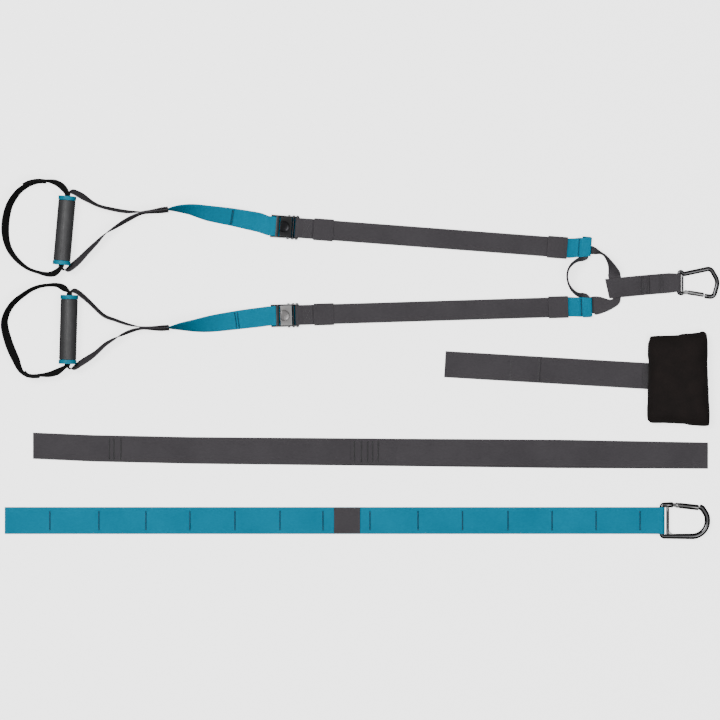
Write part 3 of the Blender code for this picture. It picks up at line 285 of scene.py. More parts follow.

# %% [markdown]
# ### Moulded grips and metal
# The grip sleeve is soft rubber with a fine pebbled skin. The rings are glossy plastic with hair
# scratches. The buckle is blackened steel and the carabiners have a thick black gloss. The two cam
# levers are one part: the upper one gets a near-black finish, which is painted shade, and the lower
# one a satin steel, which is a painted reflection. Pointiness finds edges, and their lighter colour
# is partly wear where hands and straps rub and partly a painted highlight. On the dark metals the
# edge colour stays dark, since some flat faces catch it too.

# %% Moulded and metal finishes
EDGE_WEAR_AND_HIGHLIGHT = (0.52, 0.58)
BRUSHED = (0.15, 1.0, 1.0)


def moulded(name, colour, roughness, grain, depth, **sockets):
    """A plastic or rubber skin: a fine pebble, and a cloudy change of colour and gloss."""
    made, tree, shader = plain(name, roughness, **sockets)
    where = own_place(tree)
    cloud = ranged(tree, noise(tree, where, 30.0), 0.3, 0.7)
    tree.links.new(mixed(tree, cloud, toned(colour, 0.85), toned(colour, 1.15)), shader.inputs["Base Color"])
    gloss = ranged(tree, noise(tree, where, 90.0), 0.3, 0.7, roughness - 0.06, roughness + 0.08)
    tree.links.new(gloss, shader.inputs["Roughness"])
    raised(tree, shader, noise(tree, where, grain, 2.0), depth, 0.4)
    return made


def metal(name, colour, wear_and_highlight, roughness, streak=(1.0, 1.0, 1.0)):
    """A metal or a coat on metal, brushed one way; its edges get wear and a painted highlight."""
    made, tree, shader = plain(name, roughness, metallic=1.0)
    brushed = put(tree, "ShaderNodeMapping", {"Vector": own_place(tree), "Scale": streak})
    grain = noise(tree, brushed.outputs["Vector"], 420.0)
    # Edges take the second colour: partly wear, partly a painted highlight.
    rubbed = ranged(tree, put(tree, "ShaderNodeNewGeometry").outputs["Pointiness"], *EDGE_WEAR_AND_HIGHLIGHT)
    tree.links.new(mixed(tree, rubbed, toned(colour), toned(wear_and_highlight)), shader.inputs["Base Color"])
    gloss = ranged(tree, grain, 0.25, 0.75, roughness - 0.05, roughness + 0.09)
    tree.links.new(gloss, shader.inputs["Roughness"])
    raised(tree, shader, grain, 0.03 * MM, 0.25)
    return made


GRIP_RUBBER = moulded("grip_rubber", (0.045, 0.045, 0.047), roughness=0.5, grain=900.0, depth=0.12 * MM,
                      Specular_IOR_Level=0.45)
TEAL_PLASTIC = moulded("teal_plastic", (0.0, 0.21, 0.32), roughness=0.35, grain=200.0, depth=0.05 * MM,
                       Specular_IOR_Level=0.1)
BLACK_PLASTIC = moulded("black_plastic", (0.014, 0.014, 0.015), roughness=0.4, grain=500.0, depth=0.05 * MM)
# Each metal's second colour goes on its edges: partly wear, partly a painted highlight.
BUCKLE_METAL = metal("blackened_steel", (0.03, 0.03, 0.032), (0.16, 0.16, 0.163), roughness=0.32)
BRIGHT_METAL = metal("brushed_steel", (0.5, 0.5, 0.5), (0.75, 0.75, 0.75), roughness=0.34, streak=BRUSHED)
# The upper lever's near-black is painted shade: it is the same part as the lower lever.
LEVER_PAINTED_SHADE = metal("painted_shade_lever", (0.012, 0.012, 0.013), (0.03, 0.03, 0.03), roughness=0.2, streak=BRUSHED)
SPRING_STEEL = metal("spring_steel", (0.55, 0.55, 0.56), (0.8, 0.8, 0.8), roughness=0.28)
GLOSS_METAL = metal("black_gloss", (0.075, 0.075, 0.078), (0.1, 0.1, 0.1), roughness=0.1)
# Satin steel is the hook gate's own; on the lower lever the same light steel is a painted reflection.
STEEL_AND_LEVER_PAINTED_LIGHT = metal("satin_steel_and_painted_light_lever", (0.13, 0.125, 0.125), (0.2, 0.2, 0.2), roughness=0.32, streak=BRUSHED)
print("nine moulded and metal finishes")

# %% [markdown]
# ### Cushion cloth and thread
# The door anchor's cushion has a tight black cloth. It is simulated later, and a remesh throws the
# UV map away, so its weave is a tiny cell pattern on Object coordinates. Thread is a twisted cord:
# it has a soft gloss and reads as slightly lighter or darker than the webbing that it holds.

# %% Cloth, thread and paper floor
def cloth(name, colour):
    """A tight plain cloth with soft creases, their ridges painted lighter as a painted sheen."""
    made, tree, shader = plain(name, 0.9, Sheen_Weight=0.08, Sheen_Roughness=0.4, Specular_IOR_Level=0.25)
    where = own_place(tree)
    cell = put(tree, "ShaderNodeTexVoronoi", {"Vector": where, "Scale": 1100.0, "Randomness": 0.25})
    crease_and_sheen = noise(tree, where, 38.0, 4.0)
    share = ranged(tree, crease_and_sheen, 0.3, 0.75)
    # The colour lightens where the crease rises: a painted sheen on the ridges.
    tree.links.new(mixed(tree, share, toned(colour), toned(colour, 1.7)), shader.inputs["Base Color"])
    height = put(tree, "ShaderNodeMath", {0: cell.outputs["Distance"], 1: crease_and_sheen}, operation="ADD")
    raised(tree, shader, height.outputs[0], 0.5 * MM, 0.35)
    return made


def thread(name, colour):
    """Sewing thread, with its ply as fine slanted ridges."""
    made, tree, shader = plain(name, 0.55, Sheen_Weight=0.2)
    ply = put(tree, "ShaderNodeTexWave", {"Vector": own_place(tree), "Scale": 900.0, "Distortion": 0.5},
              bands_direction="DIAGONAL")
    ridged = mixed(tree, ply.outputs["Fac"], toned(colour, 0.8), toned(colour))
    tree.links.new(ridged, shader.inputs["Base Color"])
    raised(tree, shader, ply.outputs["Fac"], 0.05 * MM, 0.5)
    return made


BLACK_CLOTH = cloth("black_cloth", (0.008, 0.0055, 0.005))
DARK_THREAD = thread("dark_thread", (0.02, 0.02, 0.022))
GREY_THREAD = thread("grey_thread", (0.07, 0.068, 0.072))
BLUE_THREAD = thread("blue_thread", (0.0, 0.05, 0.1))
paper, paper_tree, paper_shader = plain("white_paper", 0.9, Specular_IOR_Level=0.1, Emission_Strength=2.3,
                                        Emission_Color=(1.0, 1.0, 1.0, 1.0))
fibre = noise(paper_tree, own_place(paper_tree), 60.0)
paper_white = mixed(paper_tree, fibre, toned((0.93, 0.93, 0.93)), toned((0.96, 0.96, 0.96)))
paper_tree.links.new(paper_white, paper_shader.inputs["Base Color"])
floor_mesh.materials.append(paper)
print("cloth, three threads and the floor's paper")

# %% [markdown]
# ## Webbing straps
# A strap could be a curve with a flat bevel, but a curve twists where it likes. Webbing bends
# easily on its flat and hardly at all on its edge, and it stands, leans and lies down along its
# way. So each strap here is a list of stations: a place, the direction of its width, a width and
# a thickness.

# %% Stations
WEBBING = 1.8 * MM
PLY_GAP = 0.3 * MM
PLY = WEBBING + PLY_GAP
FLOOR_LIFT = 0.05 * MM
FINE_STEP = 2.4 * MM
HOLD_STEP = 1.5 * MM


def standing(places, width):
    """Stations of loose webbing on edge, from (pixel x, pixel y, lean in degrees, plies to the left)."""
    points = [at(place[0], place[1]) for place in places]
    stations = []
    for index, (_, _, lean, plies) in enumerate(places):
        before = points[max(index - 1, 0)]
        after = points[min(index + 1, len(points) - 1)]
        left = UP.cross(after - before).normalized()
        lean = math.radians(lean)
        height = (width * math.cos(lean) + WEBBING * abs(math.sin(lean))) / 2
        point = points[index] + left * plies * PLY + UP * height
        stations.append((point, UP * math.cos(lean) + left * math.sin(lean), width, WEBBING))
    return stations


def flat(line, outline, width, thickness=WEBBING):
    """Stations of a strap that lies flat along a line, from (along, height, sideways).

    Two more near the ends of each long stretch hold it straight.
    """
    places = [outline[0]]
    for before, after in zip(outline, outline[1:]):
        start, end = Vector(before), Vector(after)
        length = (end - start).length
        if length > 4 * HOLD_STEP:
            places.append(tuple(start.lerp(end, HOLD_STEP / length)))
            places.append(tuple(end.lerp(start, HOLD_STEP / length)))
        places.append(after)
    return [(line.point(along, shift, height), line.turn(ACROSS), width, thickness)
            for along, height, shift in places]


def fold(along, height, radius, first, last, shift=0.0, steps=8):
    """Places round a fold, from one angle in degrees to another."""
    places = []
    for step in range(steps + 1):
        angle = math.radians(first + (last - first) * step / steps)
        places.append((along + radius * math.cos(angle), height + radius * math.sin(angle), shift))
    return places


print("a fold has", len(fold(0.0, 0.0, PLY, -90, 90)), "places")

# %% [markdown]
# Between the stations the webbing runs on smoothly. A centripetal curve suits it, because it
# passes through every station and makes no loop where two of them are close, as in a fold. It
# carries the place, the direction of the width and both sizes at once, as one row of eight numbers.

# %% Smooth runs
def unpacked(row):
    """A station from a row of numbers, raised until its lowest edge is on the floor."""
    point, across, width, thickness = Vector(row[0:3]), Vector(row[3:6]).normalized(), row[6], row[7]
    reach = (abs(across.z) * width + math.sqrt(max(0.0, 1 - across.z ** 2)) * thickness) / 2
    point.z = max(point.z, reach + FLOOR_LIFT)
    return (point, across, width, thickness)


def smooth(stations, closed=False):
    """A fine run of stations through a few, as a centripetal curve."""
    rows = [Vector((*point, *across, width, thickness)) for point, across, width, thickness in stations]
    count = len(rows)
    if not closed:
        rows = [rows[0] * 2 - rows[1]] + rows + [rows[-1] * 2 - rows[-2]]
    fine = []
    for index in range(count if closed else count - 1):
        near = [rows[(index - 1 + step) % count] if closed else rows[index + step] for step in range(4)]
        gaps = [math.sqrt(max((near[k + 1] - near[k]).to_3d().length, WEBBING / 4)) for k in range(3)]
        knots = [0.0, gaps[0], gaps[0] + gaps[1], sum(gaps)]
        parts = max(2, math.ceil((near[2] - near[1]).to_3d().length / FINE_STEP))
        for part in range(parts):
            knot = knots[1] + gaps[1] * part / parts
            level = near
            for reach in (1, 2, 3):
                level = [level[k].lerp(level[k + 1], (knot - knots[k]) / (knots[k + reach] - knots[k]))
                         for k in range(len(level) - 1)]
            fine.append(unpacked(level[0]))
    if not closed:
        fine.append(unpacked(rows[-2]))
    return fine


folded = flat(HANG, fold(0.0, PLY, PLY, -90, 90), width=PLY)
print("a fold of", len(folded), "stations runs through", len(smooth(folded)), "places")

# %% [markdown]
# A section through webbing is a flat bar with soft selvedges. Sixteen points go round it, the
# same ones at each station, and the UV map unrolls the strap: u runs along it and v round it,
# both in metres. A second value, the selvedge share, grows from the middle to each edge.

# %% Sections and the strap builder
CORNER_SHARE = 0.42
TOP_SHARES = (-1.0, -0.5, 0.0, 0.5, 1.0)
EDGE_SHARES = ((0.62, 0.86), (1.0, 0.0), (0.62, -0.86))
RUNS = {}


def section(width, thickness):
    """The (across, deep) points round a section, over the top, round an edge and back."""
    corner = thickness * CORNER_SHARE
    half = width / 2 - corner
    deep = thickness / 2
    top = [(half * share, deep) for share in TOP_SHARES]
    edge = [(half + corner * out, deep * up) for out, up in EDGE_SHARES]
    return top + edge + [(-across, -height) for across, height in top + edge]


def strap(name, stations, finish, body, closed=False, ready=False):
    """Webbing swept through stations, with its unrolled UV map. It stands for the CAD node of its name."""
    fine = stations if ready else smooth(stations, closed)
    made = bmesh.new()
    unrolled = made.loops.layers.uv.new("strap")
    selvedge = made.verts.layers.float.new("selvedge")
    count = len(fine)
    rings, run, lengths = [], 0.0, []
    for index, (point, across, width, thickness) in enumerate(fine):
        before = fine[index - 1][0] if index or closed else point
        after = fine[(index + 1) % count][0] if index + 1 < count or closed else point
        tangent = (after - before).normalized()
        deep = tangent.cross(across).normalized()
        run += (point - before).length if index else 0.0
        lengths.append(run)
        ring = []
        for side, height in section(width, thickness):
            vertex = made.verts.new(point + across * side + deep * height)
            vertex[selvedge] = abs(side) / (width / 2)
            ring.append(vertex)
        rings.append(ring)
        RUNS.setdefault(name, []).append((point, across, deep, width, thickness, run))
    sides = len(rings[0])
    girth = [sum((rings[0][(k + 1) % sides].co - rings[0][k].co).length for k in range(side))
             for side in range(sides + 1)]
    for index in range(count if closed else count - 1):
        following = rings[(index + 1) % count]
        end = lengths[index + 1] if index + 1 < count else run + (fine[0][0] - fine[-1][0]).length
        for side in range(sides):
            nearby = (side + 1) % sides
            face = made.faces.new((rings[index][side], rings[index][nearby], following[nearby],
                                   following[side]))
            corners = ((lengths[index], girth[side]), (lengths[index], girth[side + 1]),
                       (end, girth[side + 1]), (end, girth[side]))
            for loop, place in zip(face.loops, corners):
                loop[unrolled].uv = place
    if not closed:
        made.faces.new(rings[0])
        made.faces.new(rings[-1])
    bmesh.ops.recalc_face_normals(made, faces=made.faces)
    mesh = meshed(name, made)
    mesh.shade_smooth()
    mesh.set_sharp_from_angle(angle=math.radians(60))
    mesh.materials.append(finish)
    piece = link(name + "_woven", mesh)
    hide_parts(name)
    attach(piece, body)
    return piece


print("a section has", len(section(PLY, WEBBING)), "points")

# %% [markdown]
# ## Handles
# Each handle has three straps. The foot loop runs through the grip and round in a big eye, and its
# ends lie on each other. The hand strap comes from the teal adjusting strap, goes through the same
# grip and comes back, and both its ends are sewn to the teal strap's end. All this webbing stands
# on its edge on the floor. The tables give the places that a loose strap takes, which no formula
# knows: they are read from the picture.

# %% Tables of the handles
HAND_WIDTH = 25 * MM
TAIL_WIDTH = 37 * MM
MAIN_WIDTH = 38 * MM
GRIP_LENGTH = 131 * MM
GRIP_RADIUS = 17 * MM
SIDE_PLIES = 0.65
GRIP_ROLLS = ((-0.015, 20), (0.04, 9), (0.5, 0), (0.96, 9), (1.015, 20))
BUCKLE_FRONT = 34 * MM
TAIL_LEVEL = 2.7 * MM
TAIL_END = 478 * MM
TUCKED_WIDTHS = (14 * MM, 15 * MM, 24 * MM, 33 * MM)

HANDLES = {
    "upper": {
        "line": UPPER, "top": (67.9, 196.2), "bottom": (61.9, 264.9),
        "loop_before": [
            (46.5, 181.6, -8, 0.6), (38.0, 181.4, -12, 0.6), (29.5, 183.6, -17, 0.6), (24.4, 186.5, -19, 0.6),
            (19.0, 191.0, -22, 0.3), (9.8, 205.2, -27, 0), (5.5, 228.0, -32, 0), (8.1, 245.4, -24, 0),
            (15.2, 257.4, -19, 0), (27.8, 268.3, -12, 0), (39.0, 272.4, -12, 0), (48.0, 274.4, -19, 0),
            (55.0, 273.2, -28, 0), (60.2, 268.8, -20, 0)],
        "loop_after": [
            (66.4, 191.6, -24, 0), (62.0, 186.4, -28, 0), (55.5, 182.6, -22, 0), (46.5, 181.6, -8, -0.6),
            (38.0, 181.4, -12, -0.6), (29.5, 183.6, -17, -0.6), (24.4, 186.5, -19, -0.6)],
        "upper_branch": [
            (168.5, 209.5, -12, -1), (161.0, 210.5, -12, -1), (153.0, 211.6, -9, -0.6),
            (145.0, 212.5, -6, -0.52), (138.4, 212.6, 4, -0.52), (127.6, 211.9, 13, 0), (110.2, 208.9, 14, 0),
            (98.7, 205.8, 12, 0), (90.5, 201.6, 16, 0), (82.7, 196.6, 26, 0), (76.0, 192.9, 23, 0),
            (71.6, 191.6, 18, 0)],
        "lower_branch": [
            (63.4, 269.2, 10, 0), (67.4, 270.0, -18, 0), (73.5, 265.6, -30, 0), (80.4, 259.4, -28, 0),
            (86.1, 253.4, -24, 0), (97.6, 241.9, -16, 0), (105.6, 233.9, -4, 0), (114.8, 227.8, 8, 0),
            (124.0, 222.0, 14, 0), (132.0, 217.6, 14, 0), (139.5, 213.9, 9, -0.3), (145.0, 212.5, 6, -0.52),
            (153.0, 211.6, 9, -0.6), (161.0, 210.5, 12, -1), (168.5, 209.5, 12, -1)],
        "teal": [
            (161.5, 210.4, 12, 0), (168.5, 209.5, 12, 0), (171.5, 209.1, 14, 0), (178.0, 208.9, 20, 0),
            (190.2, 209.6, 31, 0), (207.4, 213.2, 50, 0), (231.3, 217.0, 64, 0), (250.0, 220.6, 78, 0),
            (260.0, 222.7, 90, 0)]},
    "lower": {
        "line": LOWER, "top": (69.8, 295.2), "bottom": (67.9, 363.9),
        "loop_before": [
            (23.8, 372.4, -14, 0.6), (27.6, 375.2, -8, 0.6), (33.6, 376.2, -9, 0.6), (40.2, 375.8, -11, 0.6),
            (49.4, 374.4, -22, 0), (58.0, 371.6, -28, 0), (64.4, 367.6, -16, 0)],
        "loop_after": [
            (68.6, 291.2, -14, 0), (64.0, 288.0, -28, 0), (57.4, 285.2, -17, 0), (48.2, 285.2, -11, 0),
            (40.2, 286.4, -12, 0), (32.1, 289.4, -14, 0), (23.0, 295.3, -17, 0), (14.9, 301.8, -20, 0),
            (8.8, 309.8, -22, 0), (5.2, 319.0, -26, 0), (4.9, 326.4, -30, 0), (7.4, 337.4, -33, 0),
            (11.2, 348.6, -34, 0), (16.6, 360.6, -30, 0), (21.8, 370.4, -16, -0.6), (27.6, 375.2, -8, -0.6),
            (33.6, 376.2, -9, -0.6), (40.2, 375.8, -11, -0.6)],
        "upper_branch": [
            (169.3, 327.6, -12, -1), (161.0, 328.2, -12, -1), (152.0, 328.3, -9, -0.6),
            (143.5, 328.0, -6, -0.52), (135.5, 326.5, 3, -0.4), (126.3, 323.9, 9, 0), (114.8, 319.8, 11, 0),
            (105.6, 316.5, 13, 0), (99.9, 312.1, 13, 0), (91.8, 304.1, 14, 0), (82.7, 295.9, 18, 0),
            (77.4, 291.9, 18, 0), (73.2, 290.6, 18, 0)],
        "lower_branch": [
            (69.6, 368.2, 10, 0), (73.8, 368.2, -16, 0), (80.4, 363.6, -26, 0), (89.5, 357.7, -26, 0),
            (96.4, 352.7, -20, 0), (105.6, 344.3, -16, 0), (114.8, 338.7, -8, 0), (121.7, 335.1, 6, 0),
            (129.7, 331.6, 11, 0), (137.0, 329.0, 9, -0.3), (143.5, 328.0, 6, -0.52), (152.0, 328.3, 9, -0.6),
            (161.0, 328.2, 12, -1), (169.3, 327.6, 12, -1)],
        "teal": [
            (162.0, 328.1, 12, 0), (169.3, 327.6, 12, 0), (172.3, 327.4, 14, 0), (180.0, 326.6, 22, 0),
            (195.9, 325.6, 39, 0), (212.0, 323.6, 58, 0), (230.4, 321.0, 70, 0), (250.0, 318.4, 82, 0),
            (260.0, 317.2, 90, 0)]}}
read = [len(rows) for handle in HANDLES.values() for rows in handle.values() if isinstance(rows, list)]
print("places read from the picture:", sum(read))

# %% [markdown]
# Inside a grip the two loops lie beside its axis, straight and on edge, and past its ends they
# turn away. The teal strap starts on edge between the hand strap's ends, rolls over as it nears
# the buckle, and from there lies flat all the way under the dark strap.

# %% Foot loops, hand straps and adjusting straps
def through_grip(start, end):
    """Stations of webbing through a grip, beside its axis: on edge, and rolled a little at its mouths."""
    left = UP.cross((end - start).normalized())
    sense = math.copysign(1.0, left.x)
    stations = []
    for share, roll in GRIP_ROLLS:
        turn = math.radians(roll) * sense
        aside = left * math.cos(turn) - UP * math.sin(turn)
        across = UP * math.cos(turn) + left * math.sin(turn)
        point = start.lerp(end, share) + aside * SIDE_PLIES * PLY + UP * GRIP_RADIUS
        stations.append((point, across, HAND_WIDTH, WEBBING))
    return stations


for arm, handle in HANDLES.items():
    body = arm + "_handle"
    top, bottom = at(*handle["top"]), at(*handle["bottom"])
    loop = standing(handle["loop_before"], HAND_WIDTH) + through_grip(bottom, top)
    loop += standing(handle["loop_after"], HAND_WIDTH)
    strap(arm + "_foot_loop", loop, FOOT_WEBBING, body)
    hand = standing(handle["upper_branch"], HAND_WIDTH) + through_grip(top, bottom)
    hand += standing(handle["lower_branch"], HAND_WIDTH)
    strap(arm + "_hand_strap", hand, DARK_WEBBING, body)
    teal = standing(handle["teal"], TAIL_WIDTH)
    for index, width in enumerate(TUCKED_WIDTHS):
        point, across, _, thickness = teal[index]
        teal[index] = (Vector((point.x, point.y, width / 2)), across, width, thickness)
    tail = [(-BUCKLE_FRONT - 2 * PLY, TAIL_LEVEL, 0.0), (2 * PLY - BUCKLE_FRONT, TAIL_LEVEL, 0.0),
            (TAIL_END, TAIL_LEVEL, 0.0)]
    teal += flat(handle["line"], tail, TAIL_WIDTH)
    strap(arm + "_adjusting_strap", teal, TEAL_WEBBING, body)
    for part in ("_foot_loop", "_hand_strap", "_adjusting_strap"):
        print(arm + part, round(RUNS[arm + part][-1][5], 2), "m")

# %% [markdown]
# ## Arms
# The dark main strap passes under the buckle's strap bar, turns back over it and is sewn down,
# so its return ply lies on top just behind the buckle. Two sleeves of webbing, the keepers, hold
# the teal tail under it. At the far end a short teal loop lies round the dark strap's end and
# takes the ring strap in its eye.

# %% Main straps, keepers and ring loops
RETURN_END = 45.5 * MM
RETURN_TURN = 12 * MM
BAR_AT = 16 * MM
BAR_RADIUS = 1.5 * MM
MAIN_END = 528.5 * MM
NEAR_KEEPER = 48 * MM
FAR_KEEPER = 493.5 * MM
KEEPER_LENGTH = 37.5 * MM
KEEPER_WALL = 1.5 * MM
KEEPER_CORNER = 1.2 * MM
LOOP_START = 497 * MM
LOOP_STITCH = 552.5 * MM
LOOP_END = 576.5 * MM
LOOP_TUCK = 4 * MM
TUCK_SHARES = (0.0, 0.0, 0.5, 1.0, 1.0, 0.95, 0.85, 0.65, 0.45, 0.3, 0.15, 0.05)
EYE_GAP = 0.5 * MM
BUNCH = 3 * MM
BUNCH_WIDTH = 14 * MM
SKEWS = {"upper": 6 * MM, "lower": -2.4 * MM}
MAIN_LEVEL = TAIL_LEVEL + PLY
WRAP = BAR_RADIUS + PLY_GAP + WEBBING / 2
BAR_HEIGHT = MAIN_LEVEL + WRAP
LOWER_EYE = WEBBING + EYE_GAP + WEBBING / 2
RING_EYE = LOWER_EYE + WEBBING / 2 + EYE_GAP + BUNCH / 2
UPPER_EYE = RING_EYE + BUNCH / 2 + EYE_GAP + WEBBING / 2


def keeper(name, line, start, layers):
    """A sleeve of webbing, as stations round the straps that it holds."""
    half = MAIN_WIDTH / 2 + PLY_GAP + KEEPER_WALL / 2 - KEEPER_CORNER
    low = KEEPER_WALL / 2 + KEEPER_CORNER
    high = KEEPER_WALL * 1.5 + PLY_GAP + layers * PLY - KEEPER_CORNER
    stations = []
    for across, height, first in ((half, low, -90), (half, high, 0), (-half, high, 90), (-half, low, 180)):
        for step in range(7):
            angle = math.radians(first + 15 * step)
            place = line.point(start + KEEPER_LENGTH / 2, across + KEEPER_CORNER * math.cos(angle),
                               height + KEEPER_CORNER * math.sin(angle))
            stations.append((place, line.turn(ALONG), KEEPER_LENGTH, KEEPER_WALL))
    strap(name, stations, DARK_WEBBING, "webbing", closed=True, ready=True)


def ring_loop(skew):
    """Places of a teal loop: under the dark strap's end, round the ring strap and back over it."""
    radius = (UPPER_EYE - LOWER_EYE) / 2
    turn_at = LOOP_END - radius - WEBBING / 2
    far = FAR_KEEPER + KEEPER_LENGTH
    lean = skew / (LOOP_END - far)
    tail = TAIL_LEVEL
    places = [(LOOP_START, tail, 0.0), (far, tail, 0.0), (LOOP_STITCH, tail, lean * (LOOP_STITCH - far)),
              (LOOP_STITCH + PLY, LOWER_EYE, lean * (LOOP_STITCH + PLY - far))]
    places += fold(turn_at, RING_EYE, radius, -90, 90, skew)
    places += [(LOOP_STITCH + 2 * PLY, UPPER_EYE, lean * (LOOP_STITCH + PLY - far)),
               (LOOP_STITCH, tail + PLY, lean * (LOOP_STITCH - far)), (far + 2 * PLY, tail + PLY, 0.0),
               (far, tail + 2 * PLY, 0.0), (LOOP_START + PLY, tail + 2 * PLY, 0.0)]
    return places


def tucked(line, places, skew):
    """The loop's stations: its underside narrows as it leaves the keeper, and its fold widens again."""
    side = math.copysign(LOOP_TUCK / 2, skew)
    stations = []
    for index, (along, height, shift) in enumerate(places):
        share = TUCK_SHARES[index] if index < len(TUCK_SHARES) else 0.0
        stations.append((line.point(along, shift - side * share, height), line.turn(ACROSS),
                         TAIL_WIDTH - LOOP_TUCK * share, WEBBING))
    return stations


for arm, handle in HANDLES.items():
    line = handle["line"]
    main = [(RETURN_END, MAIN_LEVEL + PLY, 0.0), (BAR_AT + RETURN_TURN, MAIN_LEVEL + PLY, 0.0)]
    main += fold(BAR_AT, BAR_HEIGHT, WRAP, 80, 270) + [(MAIN_END, MAIN_LEVEL, 0.0)]
    strap(arm + "_main_strap", flat(line, main, MAIN_WIDTH), DARK_WEBBING, "webbing")
    keeper(arm + "_near_keeper", line, NEAR_KEEPER, 2)
    keeper(arm + "_far_keeper", line, FAR_KEEPER, 3)
    loop = tucked(line, ring_loop(SKEWS[arm]), SKEWS[arm])
    strap(arm + "_ring_loop", loop, TEAL_WEBBING, "webbing")
    print(arm, "arm: strap, two keepers and a loop")

# %% [markdown]
# ## The ring and its anchor strap
# One strap joins the two arms: it is sewn into a ring that runs through both teal loops and
# through the anchor strap. In each loop's eye it is bunched to a narrow roll. Between the eyes
# it stands on edge on one side and lies flat on the other, so its stations change their
# lean, their width and their height on the way.

# %% The ring strap
RING_WIDTH = 32 * MM
RING_LEVEL = WEBBING * 1.5 + PLY_GAP


def lying(places):
    """Stations from (pixel x, pixel y, lean in degrees, width), and a height where a place has one."""
    stations = []
    for index, place in enumerate(places):
        before = at(*places[max(index - 1, 0)][0:2])
        after = at(*places[min(index + 1, len(places) - 1)][0:2])
        left = UP.cross(after - before).normalized()
        lean = math.radians(place[2])
        height = (place[3] * abs(math.cos(lean)) + WEBBING * abs(math.sin(lean))) / 2
        if len(place) > 4:
            height = place[4]
        stations.append((at(place[0], place[1], height), UP * math.cos(lean) + left * math.sin(lean),
                         place[3], WEBBING))
    return stations


def ring_side(line, skew, downwards):
    """Stations of the ring through one teal loop: over in its eye, round the edge, and under."""
    under = WEBBING / 2
    eye = LOOP_END - (UPPER_EYE - LOWER_EYE) / 2 - WEBBING / 2 - BUNCH_WIDTH / 2 - PLY_GAP
    far = FAR_KEEPER + KEEPER_LENGTH
    shift = skew * (eye - far) / (LOOP_END - far)
    sense = math.copysign(1.0, skew)
    edge = skew + sense * (TAIL_WIDTH / 2 - LOOP_TUCK + PLY_GAP)
    radius = (RING_EYE - under) / 2
    along = line.turn(ALONG)
    stations = []
    for degrees in range(-90, 91, 30):
        angle = math.radians(degrees)
        point = line.point(eye, edge + sense * radius * math.cos(angle),
                           under + radius + radius * math.sin(angle))
        stations.append((point, along, BUNCH_WIDTH, WEBBING + (BUNCH - WEBBING) * (degrees + 90) / 180))
    mouth = shift - sense * TAIL_WIDTH / 2
    for across in (shift, mouth + sense * BUNCH, mouth, mouth - sense * BUNCH / 2):
        stations.append((line.point(eye, across, RING_EYE), along, BUNCH_WIDTH, BUNCH))
    return stations if downwards else stations[::-1]


wide, narrow, level = RING_WIDTH, BUNCH_WIDTH, RING_LEVEL
right = lying([
    (616.4, 297.4, -90, 17 * MM, level), (616.1, 288.0, -90, 20 * MM, level),
    (615.2, 280.4, -90, 23 * MM, level), (614.5, 276.4, -88, 24 * MM, level), (613.2, 271.4, -46, 27 * MM),
    (610.8, 265.0, -20, 30 * MM), (607.6, 259.6, -10, 30 * MM), (604.0, 255.2, -5, 28 * MM),
    (600.2, 253.0, -8, 25 * MM), (597.0, 252.0, -24, 21 * MM), (594.0, 250.9, -52, 17 * MM),
    (590.8, 249.9, -86, 16 * MM), (587.6, 248.6, -90, narrow), (585.9, 246.0, -90, narrow)])
left = lying([
    (583.2, 258.2, 48, narrow, 5.6 * MM), (579.6, 259.4, 24, 19 * MM), (575.4, 261.4, 11, 26 * MM),
    (571.2, 264.8, 6, wide), (568.2, 269.4, 3, wide), (567.0, 275.0, 2, wide), (567.4, 280.4, 2, wide),
    (569.0, 285.4, 3, wide), (571.8, 289.8, 6, wide), (575.4, 293.2, 11, 26 * MM),
    (579.6, 295.2, 24, 19 * MM), (583.2, 295.8, 48, narrow, 5.4 * MM)])
bottom = lying([
    (586.6, 310.8, -90, 18 * MM), (589.0, 307.8, -90, 28 * MM), (592.6, 306.0, -90, 35 * MM),
    (597.0, 305.4, -90, 35 * MM), (601.0, 305.2, -90, 32 * MM), (605.0, 305.0, -90, 27 * MM),
    (608.8, 304.6, -90, 21.5 * MM, 1.5 * MM), (612.4, 303.6, -90, 17 * MM, 2.3 * MM),
    (614.8, 302.2, -90, 16 * MM, level), (616.3, 300.4, -90, 16 * MM, level),
    (616.5, 299.0, -90, 16 * MM, level)])
ring = right + ring_side(UPPER, SKEWS["upper"], True)
ring += left + ring_side(LOWER, SKEWS["lower"], False) + bottom
strap("equaliser_ring", ring, DARK_WEBBING, "webbing", closed=True)
print("the ring strap is", round(RUNS["equaliser_ring"][-1][5], 3), "m round")

# %% [markdown]
# ## Straps that lie flat
# The anchor strap, the extension strap, the door anchor's strap and the ladder strap lie flat, so
# an outline seen from the side is enough: out along the floor, round a fold, and back on top.
# The anchor strap joins the ring to the hook, with a loop at each end. It drifts sideways on its
# way, so each place of its outline carries that drift as a third number.

# %% The anchor strap
HOOK_RADIUS = 3.1 * MM
FLOOR_PLY = WEBBING / 2
SECOND_PLY = FLOOR_PLY + PLY
THIRD_PLY = FLOOR_PLY + 2 * PLY
ANCHOR_LENGTH = 135.5 * MM
ANCHOR_TURN = PLY + WEBBING / 2 - ANCHOR_LENGTH
ANCHOR_SHIFT = -11.5 * MM
ANCHOR_CURVE = 1.25
ANCHOR_SLANT = -0.22
ANCHOR_BAR_WIDTH = 35 * MM
ANCHOR_LAP = 54.7 * MM
ANCHOR_EYE = 20 * MM
ANCHOR_INNER = 33 * MM
ANCHOR_SLOPE = 12 * MM
ANCHOR_RING_EYE = 24.5 * MM


def anchor_shift(along):
    """How far the anchor strap's middle has drifted sideways at a place along it."""
    return ANCHOR_SHIFT * max(0.0, along / ANCHOR_TURN) ** ANCHOR_CURVE


def drifted(*places):
    """Places of (along, height) with the strap's sideways drift."""
    return [(along, height, anchor_shift(along)) for along, height in places]


